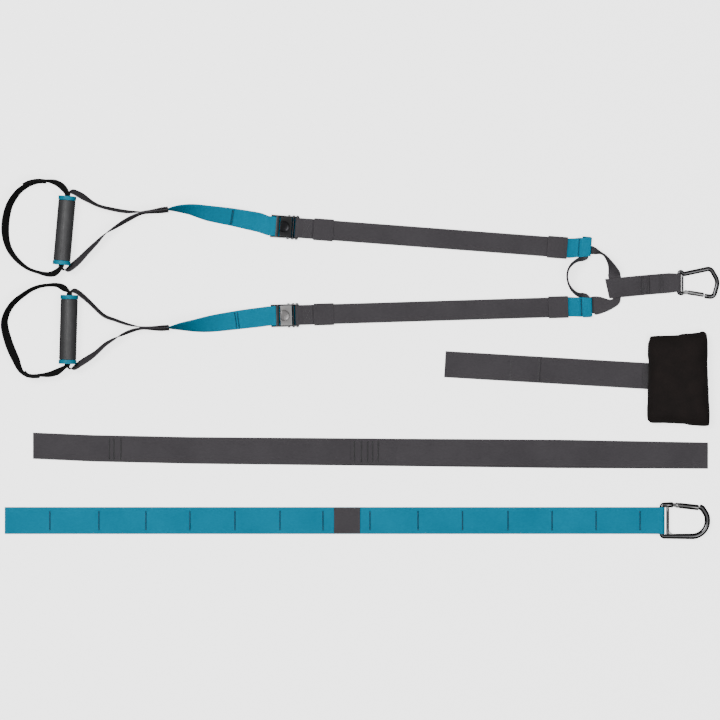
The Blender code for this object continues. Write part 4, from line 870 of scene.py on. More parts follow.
def anchor_stations():
    """The strap from the ring to the carabiner's bar, with a loop at each end."""
    wrap = HOOK_RADIUS + PLY_GAP + WEBBING / 2
    eye = ANCHOR_RING_EYE - ANCHOR_LENGTH
    lap = ANCHOR_LAP + ANCHOR_SLOPE
    outline = drifted((-ANCHOR_LAP, THIRD_PLY), (-ANCHOR_EYE, THIRD_PLY))
    outline += fold(0.0, WEBBING + PLY_GAP + HOOK_RADIUS, wrap, 100, -90)
    outline += drifted((-ANCHOR_LAP, FLOOR_PLY), (eye, FLOOR_PLY))
    outline += fold(ANCHOR_TURN, SECOND_PLY, PLY, 270, 90, ANCHOR_SHIFT)
    outline += drifted((eye, THIRD_PLY), (-lap - ANCHOR_SLOPE, THIRD_PLY), (-lap, SECOND_PLY),
                       (-ANCHOR_INNER, SECOND_PLY))
    stations = []
    for point, across, width, thickness in flat(HANG, outline, MAIN_WIDTH):
        along = point.x - HANG.point(0, 0, 0).x
        if along > -ANCHOR_EYE + PLY:
            width = ANCHOR_BAR_WIDTH
        if along < ANCHOR_TURN + PLY:
            across = (ACROSS + ALONG * ANCHOR_SLANT).normalized()
        stations.append((point, across, width, thickness))
    return stations


strap("anchor_strap", anchor_stations(), DARK_WEBBING, "webbing")
print("the anchor strap is", round(RUNS["anchor_strap"][-1][5], 3), "m long")

# %% [markdown]
# The door anchor's strap is one length of wide webbing. Its free end is folded back on top and sewn
# down, and near the cushion it climbs from the floor to the seam that holds it.

# %% The door anchor's strap
WIDE_WIDTH = 50 * MM
DOOR_FOLD = (444.8, 364.2)
DOOR_SEAM = (650.1, 376.2)
DOOR_LAP = 181 * MM
DOOR_RISE_START = 330 * MM
DOOR_SLOPE_AT = 360 * MM
DOOR_SLOPE_SHARE = 0.35
SEAM_HEIGHT = 13 * MM
SEAM_BACK = 2.6 * MM
DOOR_WAY = at(*DOOR_SEAM) - at(*DOOR_FOLD)
DOOR = Line(at(*DOOR_FOLD), math.atan2(DOOR_WAY.y, DOOR_WAY.x))
reach = DOOR_WAY.length - SEAM_BACK
outline = [(DOOR_LAP, SECOND_PLY, 0.0)]
outline += fold(PLY / 2 + WEBBING / 2, FLOOR_PLY + PLY / 2, PLY / 2, 90, 270)
outline += [(DOOR_RISE_START, FLOOR_PLY, 0.0), (DOOR_SLOPE_AT, SEAM_HEIGHT * DOOR_SLOPE_SHARE, 0.0),
            (reach - PLY, SEAM_HEIGHT - PLY, 0.0), (reach, SEAM_HEIGHT, 0.0)]
strap("door_anchor_strap", flat(DOOR, outline, WIDE_WIDTH), DARK_WEBBING, "webbing")
print("the door strap reaches", round(reach, 3), "m")

# %% [markdown]
# The extension strap is one long loop, pressed flat, so two plies lie on each other all the way.
# Its ends lap near the middle, where a third ply lies on top. It isn't quite straight, so its
# outline is read from the picture, a pixel column and row for each place.

# %% The extension strap
EXTENSION_START = (33.0, 445.7)
EXTENSION = Line(at(*EXTENSION_START))


def spot(pixel_x, height, pixel_y):
    """A place of the extension strap's outline, from a pixel and a height."""
    return ((pixel_x - EXTENSION_START[0]) * PIXEL, height, (EXTENSION_START[1] - pixel_y) * PIXEL)


turn = PLY / 2 + WEBBING / 2
middle = FLOOR_PLY + PLY / 2
far_end = spot(708.0, middle, 455.6)
outline = [spot(350.6, THIRD_PLY, 451.4), spot(386.0, THIRD_PLY, 451.7), spot(396.0, SECOND_PLY, 451.8),
           spot(560.0, SECOND_PLY, 452.8)]
outline += fold(far_end[0] - turn, middle, PLY / 2, 90, -90, far_end[2])
outline += [spot(560.0, FLOOR_PLY, 455.0), spot(350.0, FLOOR_PLY, 452.4), spot(192.0, FLOOR_PLY, 450.6),
            spot(93.0, FLOOR_PLY, 448.4)]
outline += fold(turn, middle, PLY / 2, 270, 90)
outline += [spot(93.0, SECOND_PLY, 448.2), spot(192.0, SECOND_PLY, 450.2), spot(350.0, SECOND_PLY, 451.4),
            spot(382.0, SECOND_PLY, 451.7)]
strap("extension_strap", flat(EXTENSION, outline, WIDE_WIDTH), DARK_WEBBING, "webbing")
print("the extension strap is", round(RUNS["extension_strap"][-1][5], 2), "m round")

# %% [markdown]
# The ladder strap is teal webbing folded round the straight side of its carabiner, and both its
# plies run on to the far end. A plain dark patch lies on its middle.

# %% The ladder strap
DEE_BAR = (661.4, 520.5)
DEE_RADIUS = 4 * MM
LADDER_WIDTH = WIDE_WIDTH + 1 * MM
PATCH = 1.2 * MM
PATCH_WIDTH = WIDE_WIDTH - 1 * MM
PATCH_LEVEL = SECOND_PLY + WEBBING / 2 + PLY_GAP + PATCH / 2
LADDER = Line(at(*DEE_BAR))


def ladder_place(pixel_x):
    """How far along the ladder strap's line a pixel column is."""
    return (pixel_x - DEE_BAR[0]) * PIXEL


outline = [(ladder_place(4.8), FLOOR_PLY, 0.0)]
outline += fold(0.0, WEBBING + PLY_GAP + DEE_RADIUS, DEE_RADIUS + PLY_GAP + WEBBING / 2, -90, 100)
outline += [(ladder_place(645.0), SECOND_PLY, 0.0), (ladder_place(4.8), SECOND_PLY, 0.0)]
strap("ladder_strap", flat(LADDER, outline, LADDER_WIDTH), TEAL_WEBBING, "webbing")
outline = [(ladder_place(334.0), PATCH_LEVEL, 0.0), (ladder_place(360.0), PATCH_LEVEL, 0.0)]
strap("ladder_patch", flat(LADDER, outline, PATCH_WIDTH, PATCH), DARK_WEBBING, "webbing")
print("webbing in all:", round(sum(run[-1][5] for run in RUNS.values()), 1), "m")

# %% [markdown]
# ## Grips
# A hand grip is turned: a hard core tube, a soft sleeve round it and a ring pressed on each end.
# A lathe profile spun round the grip's axis makes each of them, with its edges broken by small
# radii so that they catch the light. The sleeve's rubber has columns of tiny raised dots along it,
# which a Geometry Nodes tree plants on the points of a guide mesh.

# %% Turned pieces
ROUND_STEPS = 64
GRIPS = {}


def turned(profile, matrix, steps=ROUND_STEPS, hollow=True):
    """A mesh from a profile of (along, radius) turned about a line, closed on itself where hollow."""
    made = bmesh.new()
    rings = []
    for along, radius in profile:
        rings.append([made.verts.new(matrix @ Vector((along, radius * math.cos(math.tau * step / steps),
                                                      radius * math.sin(math.tau * step / steps))))
                      for step in range(steps)])
    for ring, following in list(zip(rings, rings[1:] + rings[:1]))[:None if hollow else -1]:
        for step in range(steps):
            nearby = (step + 1) % steps
            made.faces.new((ring[step], ring[nearby], following[nearby], following[step]))
    if not hollow:
        made.faces.new(rings[0])
        made.faces.new(rings[-1])
    bmesh.ops.recalc_face_normals(made, faces=made.faces)
    return made


def broken(corners, radius, steps=4):
    """A profile whose corners are broken by small arcs."""
    profile = []
    count = len(corners)
    for index in range(count):
        here = Vector(corners[index])
        before = Vector(corners[index - 1]) - here
        after = Vector(corners[(index + 1) % count]) - here
        cut = min(radius, before.length / 2.2, after.length / 2.2)
        start, end = here + before.normalized() * cut, here + after.normalized() * cut
        for step in range(steps + 1):
            share = step / steps
            bend = start.lerp(here, share).lerp(here.lerp(end, share), share)
            profile.append(tuple(bend))
    return profile


def solid(name, made, finish, body, slot, *nodes, sharp=40):
    """Turn a bmesh into a finished piece that rides on a body and stands for its nodes."""
    mesh = meshed(name, made)
    mesh.shade_smooth()
    mesh.set_sharp_from_angle(angle=math.radians(sharp))
    mesh.materials.append(finish)
    piece = link(name, mesh)
    if nodes:
        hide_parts(*nodes)
    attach(piece, body)
    return piece


print("lathe ready:", len(broken([(0, 0), (1, 0), (1, 1)], 0.1)), "places on a broken triangle")

# %% Grips
SLEEVE_RADIUS = 16.2 * MM
CORE_RADIUS = 14.6 * MM
BORE_RADIUS = 13.2 * MM
RING_LENGTH = 8 * MM
RING_LIP = 1.5 * MM
RUNNING_GAP = 0.3 * MM
SLEEVE_EDGE = 0.7 * MM
RING_EDGE = 0.9 * MM
CORE_EDGE = 0.3 * MM
SEAT = CORE_RADIUS + RUNNING_GAP
HALF = GRIP_LENGTH / 2
SLEEVE_HALF = HALF - RING_LENGTH - RUNNING_GAP
CORE_HALF = HALF - RING_LIP - RUNNING_GAP
SLEEVE = broken([(-SLEEVE_HALF, SEAT), (-SLEEVE_HALF, SLEEVE_RADIUS), (SLEEVE_HALF, SLEEVE_RADIUS),
                 (SLEEVE_HALF, SEAT)], SLEEVE_EDGE)
TOP_RING = broken([(HALF, BORE_RADIUS), (HALF, GRIP_RADIUS), (HALF - RING_LENGTH, GRIP_RADIUS),
                   (HALF - RING_LENGTH, SEAT), (HALF - RING_LIP, SEAT), (HALF - RING_LIP, BORE_RADIUS)],
                  RING_EDGE)
BOTTOM_RING = [(-along, radius) for along, radius in reversed(TOP_RING)]
CORE = broken([(-CORE_HALF, BORE_RADIUS), (-CORE_HALF, CORE_RADIUS), (CORE_HALF, CORE_RADIUS),
               (CORE_HALF, BORE_RADIUS)], CORE_EDGE)

for arm, handle in HANDLES.items():
    top, bottom = at(*handle["top"]), at(*handle["bottom"])
    middle = (top + bottom) / 2 + UP * GRIP_RADIUS
    angle = math.atan2(top.y - bottom.y, top.x - bottom.x)
    matrix = Matrix.Translation(middle) @ Matrix.Rotation(angle, 4, "Z")
    GRIPS[arm] = matrix
    body = arm + "_grip"
    solid(arm + "_rubber_sleeve", turned(SLEEVE, matrix), GRIP_RUBBER, body, "grip_rubber",
          arm + "_grip_sleeve")
    solid(arm + "_teal_top_ring", turned(TOP_RING, matrix), TEAL_PLASTIC, body, "teal_plastic",
          arm + "_grip_top_ring")
    solid(arm + "_teal_bottom_ring", turned(BOTTOM_RING, matrix), TEAL_PLASTIC, body, "teal_plastic",
          arm + "_grip_bottom_ring")
    solid(arm + "_core_tube", turned(CORE, matrix), BLACK_PLASTIC, body, "black_plastic", arm + "_grip_core")
    print(arm, "grip turned about", tuple(round(value, 3) for value in middle))

# %% [markdown]
# ## Repeats: one tree for thread and dots
# Stitches, bar tacks and grip dots are one small shape repeated along lines or on points. A
# Geometry Nodes tree does that from a guide mesh: it walks each line at a spacing, sets a small
# rounded bead on each point, turns it along the line or across it, and makes the result real. The
# sizes are inputs, so the same tree sews a straight seam, a dense bar tack and a row of dots.

# %% The bead tree
def bead_tree():
    """Beads along the lines of a guide mesh, with their sizes as named inputs."""
    tree = bpy.data.node_groups.new("beads_on_lines", "GeometryNodeTree")
    face = tree.interface
    face.new_socket("Guide", in_out="INPUT", socket_type="NodeSocketGeometry")
    for label in ("Spacing", "Length", "Width", "Height", "Turn"):
        face.new_socket(label, in_out="INPUT", socket_type="NodeSocketFloat")
    face.new_socket("Finish", in_out="INPUT", socket_type="NodeSocketMaterial")
    face.new_socket("Beads", in_out="OUTPUT", socket_type="NodeSocketGeometry")
    entry = put(tree, "NodeGroupInput").outputs
    lines = put(tree, "GeometryNodeMeshToCurve", {"Mesh": entry["Guide"]})
    walked = put(tree, "GeometryNodeResampleCurve",
                 {"Curve": lines.outputs["Curve"], "Length": entry["Spacing"]}, mode="LENGTH")
    ball = put(tree, "GeometryNodeMeshUVSphere", {"Segments": 6, "Rings": 4, "Radius": 0.5})
    size = put(tree, "ShaderNodeCombineXYZ",
               {"X": entry["Length"], "Y": entry["Width"], "Z": entry["Height"]})
    bead = put(tree, "GeometryNodeTransform",
               {"Geometry": ball.outputs["Mesh"], "Scale": size.outputs["Vector"]})
    tangent = put(tree, "GeometryNodeInputTangent").outputs["Tangent"]
    along = put(tree, "FunctionNodeAlignRotationToVector", {"Vector": tangent}, axis="X")
    turn = put(tree, "ShaderNodeCombineXYZ", {"Z": entry["Turn"]})
    turned_by = put(tree, "FunctionNodeEulerToRotation", {"Euler": turn.outputs["Vector"]})
    facing = put(tree, "FunctionNodeRotateRotation", {"Rotation": along.outputs["Rotation"],
                                                      "Rotate By": turned_by.outputs["Rotation"]},
                 rotation_space="LOCAL")
    planted = put(tree, "GeometryNodeInstanceOnPoints", {
        "Points": walked.outputs["Curve"], "Instance": bead.outputs["Geometry"],
        "Rotation": facing.outputs["Rotation"]})
    real = put(tree, "GeometryNodeRealizeInstances", {"Geometry": planted.outputs["Instances"]})
    soft = put(tree, "GeometryNodeSetShadeSmooth", {"Geometry": real.outputs["Geometry"]})
    done = put(tree, "GeometryNodeSetMaterial",
               {"Geometry": soft.outputs["Geometry"], "Material": entry["Finish"]})
    leave = put(tree, "NodeGroupOutput")
    tree.links.new(done.outputs["Geometry"], leave.inputs["Beads"])
    return tree


BEADS = bead_tree()


def sewn(name, lines, body, slot, finish, spacing, length, width, height, turn=0.0):
    """Run the bead tree on lines of points, and keep the beads as a plain mesh on a body."""
    points, edges = [], []
    for line in lines:
        edges += [(len(points) + step, len(points) + step + 1) for step in range(len(line) - 1)]
        points += line
    guide_mesh = bpy.data.meshes.new(name + "_guide")
    guide_mesh.from_pydata(points, edges, [])
    guide = link(name + "_guide", guide_mesh)
    grow = guide.modifiers.new("beads", "NODES")
    grow.node_group = BEADS
    values = {"Spacing": spacing, "Length": length, "Width": width, "Height": height, "Turn": turn,
              "Finish": finish}
    for item in BEADS.interface.items_tree:
        if item.in_out == "INPUT" and item.name in values:
            grow[item.identifier] = values[item.name]
    piece = link(name, as_seen(guide))
    bpy.data.objects.remove(guide)
    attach(piece, body)
    print(name, "faces:", len(piece.data.polygons))
    return piece


print("bead tree nodes:", len(BEADS.nodes))

# %% [markdown]
# The grip's dots run in columns along the sleeve, so that fingers find hold wherever they close.
# Their guide lines lie on the sleeve's round surface.

# %% Grip dots
DOT_COLUMNS = 10
DOT_START = 6
DOT_MARGIN = 4 * MM
DOTS = {"spacing": 3.4 * MM, "length": 1.7 * MM, "width": 1.7 * MM, "height": 0.8 * MM}
reach = HALF - RING_LENGTH - DOT_MARGIN
for arm, matrix in GRIPS.items():
    columns = []
    for column in range(DOT_COLUMNS):
        angle = math.radians(DOT_START + 360 * column / DOT_COLUMNS)
        across, high = SLEEVE_RADIUS * math.cos(angle), SLEEVE_RADIUS * math.sin(angle)
        columns.append([matrix @ Vector((side * reach, across, high)) for side in (-1, 0, 1)])
    sewn(arm + "_grip_dots", columns, arm + "_grip", "grip_rubber", GRIP_RUBBER, **DOTS)

# %% [markdown]
# ## Stitching
# Webbing is joined by lock stitches: a box with a cross in it, or a bar tack where a seam takes a
# pull across it. The helpers below draw the sewing lines a hair above the top ply of a strap, from
# the same lines and stations that shaped it, and the bead tree turns them into thread.

# %% Sewing lines
STITCH = {"spacing": 3.0 * MM, "length": 2.5 * MM, "width": 0.75 * MM, "height": 0.5 * MM}
TACK = {"spacing": 0.62 * MM, "length": 0.62 * MM, "width": 3.4 * MM, "height": 0.6 * MM}
THREAD_LIFT = 0.08 * MM
SEAM_INSET = 3 * MM
TACK_INSET = 2.5 * MM


def segment(line, start, end, height, step=6 * MM):
    """Points between two (along, across) places on a flat strap's top."""
    first, last = Vector(start), Vector(end)
    parts = max(1, round((last - first).length / step))
    places = [first.lerp(last, part / parts) for part in range(parts + 1)]
    return [line.point(along, across, height + THREAD_LIFT) for along, across in places]


def box_seam(line, low, high, half, height, cross=True):
    """A stitched box between two places along a strap, with a cross in it or without."""
    corners = [(low, -half), (high, -half), (high, half), (low, half)]
    pairs = list(zip(corners, corners[1:] + corners[:1]))
    if cross:
        pairs += [(corners[0], corners[2]), (corners[1], corners[3])]
    return [segment(line, start, end, height) for start, end in pairs]


def tack_across(station, face, inset):
    """A sewing line across a strap at one of its stations, on the side that a direction points to."""
    point, across, _, width, thickness, _ = station
    surface = point + face * (thickness / 2 + THREAD_LIFT)
    half = width / 2 - inset
    return [surface - across * half, surface, surface + across * half]


def face_up(station, inset):
    """A sewing line across a strap at one of its stations, on the face that looks up."""
    deep = station[2]
    return tack_across(station, deep if deep.z >= 0 else -deep, inset)


def across_seam(name, pixel_x):
    """A sewing line across a twisting strap, at a pixel column."""
    goal = at(pixel_x, 0).x
    return face_up(min(RUNS[name], key=lambda station: abs(station[0].x - goal)), SEAM_INSET)


def top_seam(name, pixel_x, inset=SEAM_INSET):
    """A sewing line across the top ply of a folded strap, at a pixel column."""
    goal = at(pixel_x, 0).x
    near = [station for station in RUNS[name] if abs(station[0].x - goal) < FINE_STEP * 0.6]
    return face_up(max(near, key=lambda station: station[0].z), inset)


def flat_tacks(line, places, half, height, side=0.0):
    """Straight sewing lines across a flat strap, at places along its line."""
    return [segment(line, (place, side - half), (place, side + half), height) for place in places]


print("thread lies", THREAD_LIFT, "m above a ply")

# %% Seams of the two arms
BOX_START = 28.5 * MM
BOX_END = 43.5 * MM
BOX_HALF = 15.5 * MM
LOOP_TACK_COLUMNS = {"upper": 579.1, "lower": 581.2}
STRAP_TACK_COLUMNS = {"upper": 231.3, "lower": 236.0}
STRAP_TACK_PITCH = 1.6
dark_seams, teal_seams = [], []
for arm, handle in HANDLES.items():
    dark_seams += box_seam(handle["line"], BOX_START, BOX_END, BOX_HALF, MAIN_LEVEL + PLY + WEBBING / 2)
    teal_seams.append(top_seam(arm + "_ring_loop", LOOP_TACK_COLUMNS[arm], TACK_INSET))
sewn("arm_box_stitches", dark_seams, "webbing", "dark_webbing", GREY_THREAD, **STITCH)
sewn("loop_bar_tacks", teal_seams, "webbing", "teal_webbing", BLUE_THREAD, **TACK)

for arm, column in STRAP_TACK_COLUMNS.items():
    places = (column, column + STRAP_TACK_PITCH)
    handle_seams = [across_seam(arm + "_adjusting_strap", pixel_x) for pixel_x in places]
    sewn(arm + "_strap_tacks", handle_seams, arm + "_handle", "teal_webbing", BLUE_THREAD, **TACK)

# %% [markdown]
# The handle's straps are sewn where they meet: the two ends of the hand strap to the teal strap,
# and the foot loop's lapped ends to each other. These joints stand on edge, so their tacks stand
# upright on the outer faces and only show from the side.

# %% Seams of the handles
TACK_DISTANCES = {"_hand_strap": (3, 8, 13), "_foot_loop": (5, 12, 24, 31)}


def upright_tack(name, at_end, distance, outward):
    """A tack across a strap on edge, on one of its faces, at a distance from one of its ends."""
    run = RUNS[name]
    goal = run[-1][5] - distance if at_end else distance
    station = min(run, key=lambda station: abs(station[5] - goal))
    return tack_across(station, station[2] * outward, TACK_INSET)


for arm in HANDLES:
    tacks = [upright_tack(arm + part, at_end, distance * MM, outward)
             for part, distances in TACK_DISTANCES.items() for distance in distances
             for at_end in (False, True) for outward in (-1, 1)]
    sewn(arm + "_handle_tacks", tacks, arm + "_handle", "dark_webbing", DARK_THREAD, **TACK)

# %% [markdown]
# The flat straps are sewn where their plies lap. A dense seam is many rows of stitches side by side,
# so each row has its pixel column. Two bar tacks hold a lap, and the extension strap has three near
# one end as well, which leave a short eye there. At the door strap's end, where its single ply climbs
# to the cushion, dense rows of black thread stand in for the shade there: painted shade.

# %% Seams of the flat straps
ROW_PITCH = 0.9
DENSE = {"spacing": 2.2 * MM, "length": 1.9 * MM, "width": 1.1 * MM, "height": 0.5 * MM}
DENSE_END = {"spacing": 1.7 * MM, "length": 1.7 * MM, "width": 1.6 * MM, "height": 0.5 * MM}
DOOR_SEAMS = (124.8, 126.8, 177.4, 179.2)
DOOR_SEAM_HALF = 21 * MM
EYE_TACKS = (109.5, 114.0, 121.0)
EYE_ROW = 448.8
LAP_TACKS = (354.4, 361.4, 367.7, 372.6, 378.2)
LAP_ROW = 451.5
EXTENSION_TACK_HALF = 20 * MM
SECOND_TOP = SECOND_PLY + WEBBING / 2

columns = [640.2 + step * ROW_PITCH for step in range(12)] + [658.9 + step * ROW_PITCH for step in range(6)]
sewn("anchor_stitches", [top_seam("anchor_strap", column) for column in columns], "webbing", "dark_webbing",
     DARK_THREAD, **DENSE)
# Black thread rows on the door strap's single climbing ply, as painted shade by the cushion.
dark = [top_seam("door_anchor_strap", 642.6 + step * ROW_PITCH) for step in range(8)]
sewn("door_end_painted_shade", dark, "webbing", "dark_webbing", DARK_THREAD, **DENSE_END)
seams = flat_tacks(DOOR, [place * MM for place in DOOR_SEAMS], DOOR_SEAM_HALF, SECOND_TOP)
sewn("door_stitches", seams, "webbing", "dark_webbing", GREY_THREAD, **STITCH)

tacks = []
for pixels, row, top in ((EYE_TACKS, EYE_ROW, SECOND_TOP), (LAP_TACKS, LAP_ROW, SECOND_TOP + PLY)):
    places = [spot(pixel_x, 0.0, row)[0] for pixel_x in pixels]
    tacks += flat_tacks(EXTENSION, places, EXTENSION_TACK_HALF, top, spot(0.0, 0.0, row)[2])
sewn("extension_bar_tacks", tacks, "webbing", "dark_webbing", DARK_THREAD, **TACK)

# %% [markdown]
# The ladder strap's pockets are closed by fourteen bar tacks of blue thread, each less than 4 mm
# wide. The patch in the middle is sewn down all round.

# %% Pockets of the ladder strap
POCKET_TACKS = (50, 99, 146, 190, 235, 280, 323, 370, 418, 462.5, 508, 552, 596, 640)
POCKET_HALF = 18.2 * MM
POCKET_TACK = {"spacing": 0.62 * MM, "length": 0.66 * MM, "width": 3.6 * MM, "height": 0.7 * MM}
PATCH_SEAMS = (335.0, 359.0)
PATCH_SEAM_HALF = 23 * MM
tacks = flat_tacks(LADDER, [ladder_place(pixel_x) for pixel_x in POCKET_TACKS], POCKET_HALF, SECOND_TOP)
sewn("pocket_bar_tacks", tacks, "webbing", "teal_webbing", BLUE_THREAD, **POCKET_TACK)
patch_low, patch_high = [ladder_place(pixel_x) for pixel_x in PATCH_SEAMS]
patch_seams = box_seam(LADDER, patch_low, patch_high, PATCH_SEAM_HALF, PATCH_LEVEL + PATCH / 2, cross=False)
sewn("patch_stitches", patch_seams, "webbing", "dark_webbing", GREY_THREAD, **STITCH)

# %% [markdown]
# ## Cam buckles
# A cam buckle is a pressed steel channel with three pins across it. The CAD solids already have
# its true shape, but a CAD solid has knife edges, and nothing real has. So the frame and the lever
# are copies of their own CAD meshes, with the loose triangles merged back into faces and every
# sharp edge bevelled a little. The lever's plate also gets the shallow round dish that a thumb
# presses, with a groove round it. The pins are turned, so that their heads come out domed.

# %% Bevelled copies of CAD pieces
MERGE_GAP = 0.01 * MM
FLAT_ANGLE = math.radians(1.0)
SHARP_ANGLE = math.radians(32)


def merged(node):
    """A CAD node's mesh as real faces: its doubles merged and its flat triangles joined."""
    made = bmesh.new()
    made.from_mesh(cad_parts[node].data)
    bmesh.ops.remove_doubles(made, verts=made.verts, dist=MERGE_GAP)
    bmesh.ops.dissolve_limit(made, angle_limit=FLAT_ANGLE, verts=made.verts, edges=made.edges)
    return made


def bevelled(made, width):
    """The same bmesh with its sharp edges rounded."""
    edges = [edge for edge in made.edges
             if len(edge.link_faces) == 2 and edge.calc_face_angle(0.0) > SHARP_ANGLE]
    bmesh.ops.bevel(made, geom=edges, offset=width, segments=2, profile=0.5, affect="EDGES",
                    clamp_overlap=True)
    return made


def cut(piece, made):
    """Cut a bmesh out of a piece, and leave no modifier on it."""
    cutter = link("cutter", meshed("cutter", made))
    change = piece.modifiers.new("cut", "BOOLEAN")
    change.operation = "DIFFERENCE"
    change.object = cutter
    result = as_seen(piece)
    piece.modifiers.clear()
    old = piece.data
    piece.data = result
    bpy.data.meshes.remove(old)
    bpy.data.objects.remove(cutter)
    piece.data.shade_smooth()
    piece.data.set_sharp_from_angle(angle=math.radians(30))


print("the upper lever has", len(merged("upper_cam_lever").faces), "merged faces")

# %% Buckle frames, pins and levers
AXLE_HEIGHT = 8.5 * MM
GUIDE_AT = 8.9 * MM
GUIDE_HEIGHT = 8.2 * MM
GUIDE_RADIUS = 1.9 * MM
AXLE_RADIUS = 1.75 * MM
BUCKLE_OUTSIDE = 43 * MM
PIN_GAP = 0.15 * MM
HEAD_RADIUS = 2.6 * MM
HEAD_EDGE = 0.3 * MM
HEAD_DOME = ((0.3 * MM, 1.0), (0.8 * MM, 0.96), (1.2 * MM, 0.75), (1.5 * MM, 0.35))
LEVER_RISE = 4.8 * MM
LEVER_PLATE = 2 * MM
LEVER_TOP = AXLE_HEIGHT + LEVER_RISE + LEVER_PLATE / 2
DISH_AT = -8.6 * MM
DISH_RADIUS = 9.6 * MM
DISH_DEPTH = 0.9 * MM
GROOVE = 0.8 * MM
FRAME_EDGE = 0.35 * MM
LEVER_EDGE = 0.4 * MM
# One lever part on both arms: painted dark as shade on the upper, painted light as a reflection on the lower.
LEVER_LIGHT_AND_SHADE_BY_ARM = {"upper": LEVER_PAINTED_SHADE, "lower": STEEL_AND_LEVER_PAINTED_LIGHT}


def pin(line, along, height, radius):
    """A headed pin across a buckle, with domed heads."""
    half = BUCKLE_OUTSIDE / 2 + PIN_GAP
    head = [(half, radius), (half, HEAD_RADIUS - HEAD_EDGE)]
    head += [(half + out, HEAD_RADIUS * share) for out, share in HEAD_DOME]
    profile = [(-place, size) for place, size in reversed(head)] + head
    matrix = line.matrix @ Matrix.Translation((along, 0.0, height)) @ Matrix.Rotation(math.pi / 2, 4, "Z")
    return turned(profile, matrix, steps=32, hollow=False)


def dish(line):
    """The ball that presses a thumb dish into a lever's plate."""
    radius = (DISH_RADIUS ** 2 + DISH_DEPTH ** 2) / (2 * DISH_DEPTH)
    middle = Matrix.Translation((DISH_AT, 0.0, LEVER_TOP + radius - DISH_DEPTH))
    made = bmesh.new()
    bmesh.ops.create_uvsphere(made, u_segments=256, v_segments=128, radius=radius)
    bmesh.ops.transform(made, verts=made.verts, matrix=line.matrix @ middle)
    return made


def dish_groove(line):
    """The ring that presses a round groove into the lever's plate, at the dish's rim."""
    middle = line.matrix @ Matrix.Translation((DISH_AT, 0.0, LEVER_TOP))
    matrix = middle @ Matrix.Rotation(-math.pi / 2, 4, "Y")
    angles = [math.tau * step / 12 for step in range(12)]
    profile = [(GROOVE * math.cos(angle), DISH_RADIUS + GROOVE * math.sin(angle)) for angle in angles]
    return turned(profile, matrix, steps=96)


for arm, handle in HANDLES.items():
    line = handle["line"]
    made = bevelled(merged(arm + "_buckle_frame"), FRAME_EDGE)
    solid(arm + "_steel_frame", made, BUCKLE_METAL, "webbing", "buckle_metal", arm + "_buckle_frame",
          sharp=30)
    for part, along, height, radius in (("cam_axle", 0.0, AXLE_HEIGHT, AXLE_RADIUS),
                                        ("guide_bar", GUIDE_AT, GUIDE_HEIGHT, GUIDE_RADIUS),
                                        ("strap_bar", BAR_AT, BAR_HEIGHT, BAR_RADIUS)):
        solid(f"{arm}_{part}_pin", pin(line, along, height, radius), BUCKLE_METAL, "webbing", "buckle_metal",
              f"{arm}_{part}")
    made = bevelled(merged(arm + "_cam_lever"), LEVER_EDGE)
    thumb = solid(arm + "_lever_plate", made, LEVER_LIGHT_AND_SHADE_BY_ARM[arm], arm + "_cam", "lever_metal",
                  arm + "_cam_lever", sharp=30)
    cut(thumb, dish(line))
    cut(thumb, dish_groove(line))
    print(arm, "lever faces after its dish:", len(thumb.data.polygons))

# %% [markdown]
# The cam's coil spring shows through the slot in the lever. A spring is one wire on a helix, so a
# curve with a round bevel makes it, and the curve is turned into a mesh before it is placed.

# %% Springs
SPRING_WIRE = 0.4 * MM
SPRING_COIL = 3.1 * MM
SPRING_TURNS = 5
SPRING_SIDES = 24
SPRING_PITCH = 1.1 * MM


def wire(name, places, radius, finish, body, slot, *nodes):
    """Round wire through places, as a mesh that stands for its nodes."""
    curve = bpy.data.curves.new(name, "CURVE")
    curve.dimensions = "3D"
    curve.bevel_depth = radius
    curve.bevel_resolution = 3
    curve.use_fill_caps = True
    spline = curve.splines.new("POLY")
    spline.points.add(len(places) - 1)
    for point, place in zip(spline.points, places):
        point.co = (*place, 1.0)
    drawn = link(name + "_curve", curve)
    mesh = as_seen(drawn)
    bpy.data.objects.remove(drawn)
    mesh.shade_smooth()
    mesh.materials.clear()
    mesh.materials.append(finish)
    piece = link(name, mesh)
    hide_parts(*nodes)
    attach(piece, body)
    return piece


for arm, handle in HANDLES.items():
    line = handle["line"]
    places = []
    for step in range(SPRING_TURNS * SPRING_SIDES + 1):
        turns = step / SPRING_SIDES
        angle = -math.tau * (turns + 0.25)
        places.append(Vector((SPRING_COIL * math.cos(angle), SPRING_PITCH * (turns - SPRING_TURNS / 2),
                              AXLE_HEIGHT + SPRING_COIL * math.sin(angle))))
    places.insert(0, places[0] + ALONG * (GUIDE_AT + GUIDE_RADIUS))
    spring = [line.point(*place) for place in places]
    wire(arm + "_coil_spring", spring, SPRING_WIRE, SPRING_STEEL, "webbing", "spring_steel",
         arm + "_cam_spring")
print("two cam springs of", SPRING_TURNS, "turns")

# %% [markdown]
# ## Carabiners
# A carabiner is a bent bar: a straight side that holds the webbing, a rib that keeps the webbing
# in its slot, a wide curve and a nose. A round bar swept along rounded corners makes it, slim
# inside the webbing and fuller past it. The gate is turned and slotted, and it closes on the nose
# with a spring. The small one is a hook and the large one is shaped like a D.

